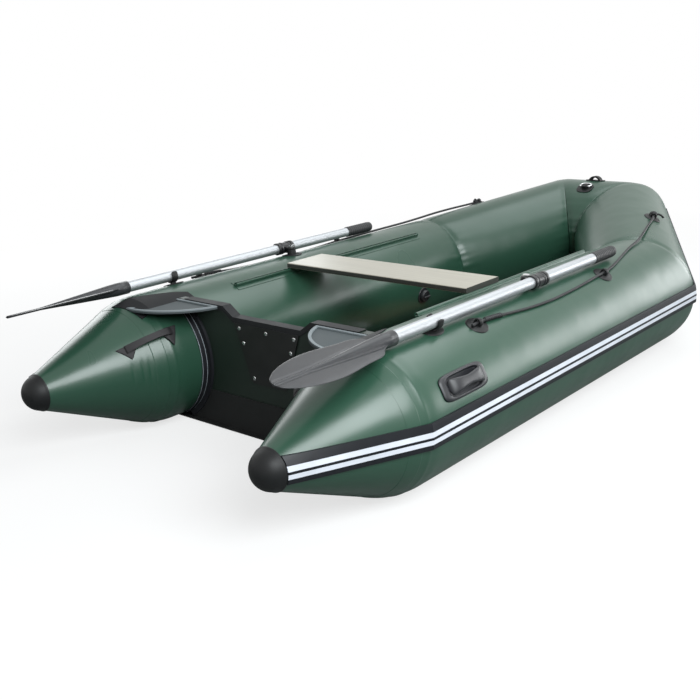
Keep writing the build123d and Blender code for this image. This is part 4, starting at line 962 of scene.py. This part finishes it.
def eye_rings(run, s, phi):
    """A moulded eye: a thick hoop round the rope's way through, flattened at its foot."""
    spot, along, across, out = skin_axes(run, s, phi)
    turn = np.linspace(-0.22 * np.pi, 1.22 * np.pi, 40)
    outward = across * np.cos(turn)[:, None] + out * np.sin(turn)[:, None]
    centre = spot + out * EYE_LIFT + outward * EYE_R
    return bent_bar(centre, along, outward, 0.0062, 0.0034, 2.6)


pad_hub = [(0.02, 0.0035), (0.30, 0.0036), (0.48, 0.0042), (0.56, 0.0040), (0.64, 0.0030)]
pad_hub += [(0.86, 0.0028), (0.95, 0.0023), (0.99, 0.0012), (1.0, 0.0006)]
pads = [moulded_pad(*place, PAD_HALF, pad_hub) for place in EYE_PLACES]
eyes = [eye_rings(*place) for place in EYE_PLACES]
pads += [rings * PORTWARD for rings in pads]
eyes += [rings * PORTWARD for rings in eyes]
dress(closed_skin("eye_pads", *pads), "hull", "fitting_rubber", FITTING_RUBBER, "eyelet_pads")
dress(closed_skin("eyes", *eyes), "hull", "fitting_rubber", FITTING_RUBBER, "eyelets")


def clip_parts():
    """Oar clip: an oval pad, a waisted stem and an open ring with rolled lips."""
    spot, along, across, out = skin_axes(SIDE, CLIP_Y, OAR_PHI)
    axis = spot + out * OAR_LIFT
    turn = np.radians(np.linspace(-218, 38, 60))
    t, full = rounded_ends(60, 0.06)
    rolled = np.exp(-((t / 0.06) ** 2)) + np.exp(-(((1 - t) / 0.06) ** 2))
    lips = CLIP_LIP + 0.0011 * rolled
    outward = across * np.cos(turn)[:, None] + out * np.sin(turn)[:, None]
    centre = axis + outward * (CLIP_R + (lips - CLIP_LIP))[:, None]
    ring = bent_bar(centre, along, outward, 0.0108 * full, lips * full, 3.0)
    lift = np.linspace(0.0005, OAR_LIFT - 0.0180, 14)
    waist = 0.0058 + 0.0040 * ((lift - 0.0050) / 0.0050) ** 2
    stem = bent_bar(spot + out * lift[:, None], along, across, 0.0095, waist, 3.0)
    pad_rows = [(0.02, 0.0034), (0.5, 0.0032), (0.88, 0.0027), (0.97, 0.0016), (1.0, 0.0006)]
    return moulded_pad(SIDE, CLIP_Y, OAR_PHI, (0.037, 0.025), pad_rows), ring, stem


for side, clip in twins(("clip_starboard", "clip_port"), clip_parts()).items():
    dress(clip, "hull", "fitting_rubber", FITTING_RUBBER, "oar_clip_" + side)

# ---- side handles -------------------------------------------------------------------
# A carrying handle low on each side: a moulded pad with a rolled rim round a dark recess,
# and a soft bar across it, broad at its ends and narrow in the middle.

HANDLE = (SIDE, 0.160, 28.0)
HANDLE_HALF = (0.092, 0.033)
HANDLE_SIDES = [(0, 1.0), (90, 1.0), (180, 1.0), (270, 1.0)]


def handle_parts():
    """Pad with a rim, and a bar whose half width is least at its middle."""
    rim = [(0.02, 0.0010), (0.68, 0.0010), (0.715, 0.0022), (0.735, 0.0052), (0.76, 0.0066)]
    rim += [(0.81, 0.0070), (0.89, 0.0066), (0.94, 0.0054), (0.98, 0.0034), (1.0, 0.0008)]
    pad = moulded_pad(*HANDLE, HANDLE_HALF, rim, HANDLE_SIDES, 5.0, 120)
    t, full = rounded_ends(64, 0.05)
    x = (t - 0.5) * 0.136
    waist = 0.0120 + 0.0085 * np.abs(2 * t - 1) ** 1.4
    lift = 0.0050 + 0.0145 * np.clip(1 - np.abs(2 * t - 1) ** 5, 0, 1)
    spot, along, across, out = skin_axes(*HANDLE)
    centre = spot + along * x[:, None] + out * lift[:, None]
    bar = bent_bar(centre, across, out, waist * full, 0.0048 * full, 2.6, 40)
    return pad, bar


# Softer rubber than the small fittings, rubbed a little shiny by hands.
HANDLE_RUBBER = moulded("soft_handle_rubber", "17181c", 0.42, 1.2, 0.25, 1.5, 0.06)
handles = twins(("side_handle_skin_starboard", "side_handle_skin_port"), handle_parts())
for side, handle in handles.items():
    dress(handle, "hull", "fitting_rubber", HANDLE_RUBBER, "side_handle_" + side)

# ---- strap handles ------------------------------------------------------------------
# A webbing strap on the inner side of each stern cone, sewn to two cloth patches that
# taper to a point down the cone.

STRAP_Y = -0.050
STRAP_PHI = 144.0
STRAP_HALF = 0.060
PATCH_EDGES = [(270, 0.36), (30, 0.54), (150, 0.54)]


def on_cone(run, s, phi, lift):
    """Points over a stern cone, in the order that a pad asks for them."""
    return on_side(s, phi, lift)


def strap_parts():
    """Two patches with rounded corners, and a flat strap that stands off in a low arch."""
    rows = [(0.02, 0.0026), (0.80, 0.0025), (0.93, 0.0020), (1.0, 0.0006)]
    patches = [
        moulded_pad(
            None, STRAP_Y + x, STRAP_PHI, (0.038, 0.040), rows, PATCH_EDGES, 16.0, 72, on_cone
        )
        for x in (-STRAP_HALF + 0.002, STRAP_HALF - 0.002)
    ]
    t = np.linspace(-1, 1, 48)
    y = STRAP_Y + (STRAP_HALF + 0.006) * t
    lift = 0.0032 + 0.0200 * np.clip(1 - np.abs(t) ** 2.2, 0, 1)
    centre = on_side(y, np.full_like(t, STRAP_PHI), lift)
    side = unit(on_side(y, np.full_like(t, STRAP_PHI + 3), lift) - centre)
    up = unit(np.cross(np.gradient(centre, axis=0), side))
    width = 0.0112 * (1 - 0.18 * (1 - t**2))
    return [*patches, bent_bar(centre, side, up, width, 0.0012, 6.0, 40)]


def woven_webbing():
    """Black webbing: fine ribs along the strap, crossed by the weft, with a dull gloss."""
    paint, tree, place = start_paint("woven_webbing_black")
    weft = add(tree, "TexWave", {"Vector": place, "Scale": 190.0, "Distortion": 0.6})
    cloud = add(tree, "TexNoise", {"Vector": place, "Scale": 60.0, "Detail": 3.0})
    tone = add(tree, "MixRGB", {0: cloud.outputs["Fac"], 1: linear("151416"), 2: linear("242124")})
    bump = add(tree, "Bump", {"Height": weft.outputs["Fac"], "Strength": 0.5, "Distance": 0.0004})
    skin = add(
        tree,
        "BsdfPrincipled",
        {"Base Color": tone.outputs[0], "Roughness": 0.68, "Normal": bump.outputs["Normal"]},
    )
    add(tree, "OutputMaterial", {"Surface": skin.outputs[0]})
    return paint


# Polyester webbing: dull soft black. Its weft is drawn 1.7 mm apart, coarser than it is,
# so that it just shows.
WEBBING = woven_webbing()
for side, strap in twins(("strap_skin_starboard", "strap_skin_port"), strap_parts()).items():
    dress(strap, "hull", "webbing", WEBBING, "strap_handle_" + side)

# ---- bow fittings -------------------------------------------------------------------
# A rubber pad on the bow holds a chromed towing ring in its lug, and a moulded grip for
# carrying sits above it.

repaint(FITTING_RUBBER, "bow_pad", "bow_handle")
repaint(CHROME, "bow_ring")

# ---- valves -------------------------------------------------------------------------
# An inflation valve in each chamber: a round flange moulded to the skin, a threaded neck
# and a screw cap with a fluted rim and a raised finger bar.

VALVE_PHI = 189.0
VALVE_PLACES = {
    "starboard": ((SIDE, 1.170, VALVE_PHI), 1.0),
    "port": ((SIDE, 1.170, VALVE_PHI), -1.0),
    "bow": ((BOW, 0.300, VALVE_PHI), 1.0),
}


def valve_parts(run, s, phi):
    """Flange with a rolled rim that follows the tube, and a neck with two thread ridges."""
    rows = [(0.55, 0.0040), (0.70, 0.0040), (0.80, 0.0034), (0.90, 0.0040), (0.97, 0.0030)]
    rows += [(1.0, 0.0008)]
    flange = moulded_pad(run, s, phi, (0.031, 0.031), [(0.02, 0.0040)] + rows)
    z = np.linspace(0.003, 0.0125, 24)
    ridges = 0.0181 + 0.0007 * np.sin(z * 2 * np.pi / 0.0032) ** 2
    neck = [(0.003, 0.0152), *np.stack([z, ridges], axis=1), (0.0128, 0.0170), (0.0128, 0.0152)]
    neck += [(0.003, 0.0152)]
    return flange, lathed(skin_axes(run, s, phi), neck, 64)


def screw_cap_parts(run, s, phi):
    """Screw cap: its rim rises and falls in twenty-four flutes, and its top is dished."""
    rows = [(0.0163, 0.0008), (0.0163, 0.0120), (0.0170, 0.0140), (0.0176, 0.0180)]
    rows += [(0.0172, 0.0208), (0.0160, 0.0222), (0.0060, 0.0226), (0.0044, 0.0224)]
    rows += [(0.0043, 0.0194), (0.0043, 0.0190)]
    z, radius = np.array(rows).T
    turn = np.linspace(0, 2 * np.pi, 192, endpoint=False)
    flutes = 0.0006 * (np.abs(np.sin(12 * turn)) ** 0.7)
    spot, first, second, along = skin_axes(run, s, phi)
    radius = radius[:, None] - np.where(radius[:, None] > 0.0215, flutes[None, :], 0.0)
    ring = first * np.cos(turn)[:, None] + second * np.sin(turn)[:, None]
    cup = spot + along * z[:, None, None] + ring[None] * radius[..., None]
    t, full = rounded_ends(40, 0.1)
    x = (t - 0.5) * 0.036
    lift = 0.0165 + 0.0035 * full
    bar = bent_bar(spot + first * x[:, None] + along * lift[:, None], second, along, 0.0036, 0.0045)
    return cup, bar


# Valves: hard moulded plastic, charcoal, glossier than the rubber round them.
VALVE_PLASTIC = moulded("moulded_valve_plastic", "1b1c1f", 0.36, 0.9, 0.15)
valve_bodies = []
for name, (place, sign) in VALVE_PLACES.items():
    flip = np.array([sign, 1.0, 1.0])
    valve_bodies += [rings * flip for rings in valve_parts(*place)]
    screw_cap = [rings * flip for rings in screw_cap_parts(*place)]
    cap = closed_skin("valve_cap_skin_" + name, *screw_cap)
    dress(cap, "valve_cap_" + name, "valve_plastic", VALVE_PLASTIC, "valve_cap_" + name)
valves = closed_skin("valve_bodies", *valve_bodies)
dress(valves, "hull", "valve_plastic", VALVE_PLASTIC, "valves")

# ---- plate screws -------------------------------------------------------------------
# Seven steel screws hold the motor plate. Each has a shallow domed head; the upper five
# come through and end in a rounded tip on the inner plate.

plate_low, plate_high = (np.array(v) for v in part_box("motor_plate"))
inner_low, inner_high = (np.array(v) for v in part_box("inner_plate"))
SCREW_INSET = 0.014
SCREW_HEAD_R = 0.0058
SCREW_HEAD_DOME = 0.0012
SCREW_R = 0.0028
PLATE_FOOT_HALF = 0.066


def screw_spots():
    """Middle of each screw across the plate: one at the top, then pairs down its edges."""
    top = plate_high[2] - SCREW_INSET
    low = plate_low[2] + SCREW_INSET
    spots = [(0.0, top)]
    for z in (top, (top + inner_low[2]) / 2, low):
        share = (z - plate_low[2]) / (plate_high[2] - plate_low[2])
        half = PLATE_FOOT_HALF + share * (plate_high[0] - PLATE_FOOT_HALF) - SCREW_INSET
        spots += [(half, z), (-half, z)]
    return spots


def screw_rings(x, z):
    """Screw as radius along its length, from its domed head to its tip."""
    through = z > inner_low[2]
    length = (inner_high[1] if through else inner_low[1] - 0.002) - plate_low[1]
    bend = np.linspace(0.12, np.pi / 2, 8)
    dome = np.stack([-SCREW_HEAD_DOME * np.cos(bend), SCREW_HEAD_R * np.sin(bend)], axis=1)
    shank = [(0.0018, SCREW_HEAD_R), (0.0020, SCREW_R), (length - 0.001, SCREW_R)]
    shank += [(length, SCREW_R - 0.001)]
    axis = (np.array([x, plate_low[1], z]), np.array([1.0, 0, 0]), np.array([0, 0, 1.0]), SIDE_DIR)
    return lathed(axis, np.concatenate([dome, shank]), 32)


# Stainless steel, turned: bright and nearly smooth.
SCREW_STEEL = bare_metal("turned_screw_steel", "cfd0d0", 0.22, (900.0, 900.0, 900.0), 0.05)
screws = closed_skin("screws", *[screw_rings(x, z) for x, z in screw_spots()])
dress(screws, "hull", "screw_steel", SCREW_STEEL, "plate_screws")

# ---- lifelines ----------------------------------------------------------------------
# A black braided rope on each side, 8 mm thick, threaded through three rubber eyes. It
# lies on the tube between them and is made fast at its ends: whipped round itself aft,
# and tied off in a stopper knot at the bow.

ROPE_R = 0.004
ROPE_STEP = 0.0011
ROPE_LAY = 0.019
LYING = ROPE_R + 0.0012
WHIPPING_START = 0.056
WHIPPING_LENGTH = 0.078
WHIPPING_STEP = 0.0078
OVER_SIDE = np.array([0.45, 0.0, 0.9])
STARBOARD_ROUTE = [
    on_side(0.316, 62.6, EYE_LIFT),
    on_side(0.362, 63.2, EYE_LIFT),
    on_side(0.420, 62.4, 0.0080),
    on_side(0.500, 59.8, LYING),
    on_side(0.590, 57.2, LYING),
    on_side(0.684, 56.0, LYING),
    on_side(0.784, 56.6, LYING),
    on_side(0.880, 57.8, LYING),
    on_side(0.962, 59.4, 0.0064),
    on_side(1.016, 59.8, EYE_LIFT),
    on_side(1.058, 60.4, EYE_LIFT),
    on_side(1.136, 64.4, 0.0070),
    on_side(1.236, 71.2, 0.0060),
    on_side(1.340, 77.8, 0.0060),
    on_side(1.440, 82.0, 0.0095),
    on_tube(BOW, 0.066, 80.6, 0.0130),
    on_tube(BOW, 0.160, 73.0, 0.0095),
    on_tube(BOW, 0.226, 67.2, EYE_LIFT),
    on_tube(BOW, 0.258, 65.3, EYE_LIFT),
    on_tube(BOW, 0.294, 64.6, EYE_LIFT),
]
PORT_ROUTE = [
    on_side(0.312, 63.4, EYE_LIFT),
    on_side(0.360, 63.0, EYE_LIFT),
    on_side(0.424, 61.6, 0.0080),
    on_side(0.512, 58.4, LYING),
    on_side(0.604, 56.2, LYING),
    on_side(0.702, 55.2, LYING),
    on_side(0.800, 56.0, LYING),
    on_side(0.896, 57.6, LYING),
    on_side(0.966, 59.2, 0.0064),
    on_side(1.018, 59.8, EYE_LIFT),
    on_side(1.060, 60.5, EYE_LIFT),
    on_side(1.140, 65.0, 0.0070),
    on_side(1.244, 71.6, 0.0060),
    on_side(1.350, 77.4, 0.0066),
    on_side(1.446, 81.2, 0.0105),
    on_tube(BOW, 0.070, 79.8, 0.0130),
    on_tube(BOW, 0.160, 72.4, 0.0100),
    on_tube(BOW, 0.226, 67.0, EYE_LIFT),
    on_tube(BOW, 0.259, 65.3, EYE_LIFT),
    on_tube(BOW, 0.296, 64.8, EYE_LIFT),
]


def route_line(route, name):
    """Points of the smooth NURBS line whose control points are the route's."""
    line = bpy.data.curves.new(name, "CURVE")
    line.dimensions = "3D"
    line.resolution_u = 32
    spline = line.splines.new("NURBS")
    spline.points.add(len(route) - 1)
    spline.points.foreach_set("co", np.c_[np.array(route), np.ones(len(route))].ravel())
    spline.order_u = 3
    spline.use_endpoint_u = True
    holder = bpy.data.objects.new(name, line)
    bpy.context.scene.collection.objects.link(holder)
    bpy.context.view_layer.update()
    shaped = holder.evaluated_get(bpy.context.evaluated_depsgraph_get())
    drawn = bpy.data.meshes.new_from_object(shaped)
    points = np.empty(len(drawn.vertices) * 3)
    drawn.vertices.foreach_get("co", points)
    bpy.data.objects.remove(holder)
    bpy.data.curves.remove(line)
    bpy.data.meshes.remove(drawn)
    return points.reshape(-1, 3)


def even_points(line, step):
    """A line resampled at even steps, and the distance along it of each point."""
    gone = np.concatenate([[0.0], np.cumsum(np.linalg.norm(np.diff(line, axis=0), axis=1))])
    count = max(3, int(round(gone[-1] / step)) + 1)
    at = np.linspace(0, gone[-1], count)
    return np.stack([np.interp(at, gone, line[:, k]) for k in range(3)], axis=1), at


def sections_along(line, guide):
    """Tangent, side and top directions at each point of a line; top leans towards the guide."""
    tangent = unit(np.gradient(line, axis=0))
    guide = np.broadcast_to(guide, line.shape)
    side = unit(np.cross(tangent, guide))
    return tangent, side, np.cross(side, tangent)


def rings_about(centre, radius, guide, turn):
    """Rings round a line: radius is given for each point of the line and each turn."""
    _, side, top = sections_along(centre, guide)
    ring = side[:, None] * np.cos(turn)[None, :, None] + top[:, None] * np.sin(turn)[None, :, None]
    return centre[:, None, :] + ring * radius[..., None]


def braided_rope(line, radius, guide):
    """Rings along a rope whose radius rises and falls with two opposed sets of strands.

    Each set of eight strands is a wave of the angle plus or minus the distance along; the
    higher of the two waves is the strand on top."""
    centre, at = even_points(line, ROPE_STEP)
    turn = np.linspace(0, 2 * np.pi, 40, endpoint=False)
    lay = 2 * np.pi * at[:, None] / ROPE_LAY
    left = np.abs(np.cos(2 * (turn[None, :] + lay)))
    right = np.abs(np.cos(2 * (turn[None, :] - lay)))
    height = radius * (0.90 + 0.10 * np.maximum(left, right))
    return rings_about(centre, height, guide, turn), centre


def whipping(centre, radius, start, length):
    """Turns of thin line round a rope: a sleeve whose radius rises once for each turn."""
    part, at = even_points(centre, 0.0005)
    part = part[(at > start) & (at < start + length)]
    turn = np.linspace(0, 2 * np.pi, 36, endpoint=False)
    gone = np.linspace(0, length, len(part))
    end = np.clip(np.minimum(gone, length - gone) / 0.002, 0.0, 1.0)[:, None]
    wave = np.abs(np.sin(np.pi * gone[:, None] / WHIPPING_STEP + turn[None, :] / 2))
    height = radius - 0.0008 + end * (0.0012 + 0.0024 * wave)
    return rings_about(part, height, OVER_SIDE, turn)


def stopper_knot(centre, radius):
    """A knot at a rope's end: a closed loop wound twice round the rope, and a loose tail.

    The loop is a ring about the rope whose radius and place along it swing once per turn."""
    spot = centre[-14]
    tangent, side, top = (v[-14] for v in sections_along(centre, OVER_SIDE))
    t = np.linspace(0, 2 * np.pi * 2.08, 150)
    reach = radius * (2.3 + 0.5 * np.cos(1.5 * t))
    line = spot + side * (reach * np.cos(t))[:, None] + top * (reach * np.sin(t) * 0.9)[:, None]
    line = line + top * 0.0012 + tangent * (radius * 2.2 * np.sin(t / 2 + 0.6))[:, None]
    across = unit(line - spot)
    ahead = unit(np.gradient(line, axis=0))
    loop = bent_bar(line, np.cross(ahead, across), across, radius * 1.1, radius * 1.1, 2.0, 20)
    u = np.linspace(0, 1, 40)[:, None]
    tail = line[-1] + side * 0.030 * u + top * (0.012 * u - 0.017 * u**2) + tangent * 0.014 * u**2
    way = unit(np.gradient(tail, axis=0))
    lift = unit(np.cross(way, side + top))
    size = radius * (0.9 + 0.25 * u[:, 0] ** 6)
    return loop, bent_bar(tail, np.cross(way, lift), lift, size, size, 2.0, 20)


# Braided polyester: black and dull, the strands seen by their own shadows.
ROPE_FIBRE = moulded("braided_polyester_rope", "0f1012", 0.62, 0.6, 0.2)
ROUTES = {
    "starboard": np.array(STARBOARD_ROUTE),
    "port": np.array(PORT_ROUTE) * PORTWARD,
}
ROPE_GUIDES = {"starboard": OVER_SIDE, "port": OVER_SIDE * PORTWARD}
for side in SIDES:
    line = route_line(ROUTES[side], "rope_line_" + side)
    rope_rings, centre = braided_rope(line, ROPE_R, ROPE_GUIDES[side])
    rope = closed_skin("lifeline_rope_" + side, rope_rings)
    dress(rope, "hull", "rope", ROPE_FIBRE, "lifeline_" + side)
    served = whipping(centre, ROPE_R, WHIPPING_START, WHIPPING_LENGTH)
    ends = closed_skin("lifeline_ends_" + side, served, *stopper_knot(centre, ROPE_R))
    dress(ends, "hull", "rope", ROPE_FIBRE)
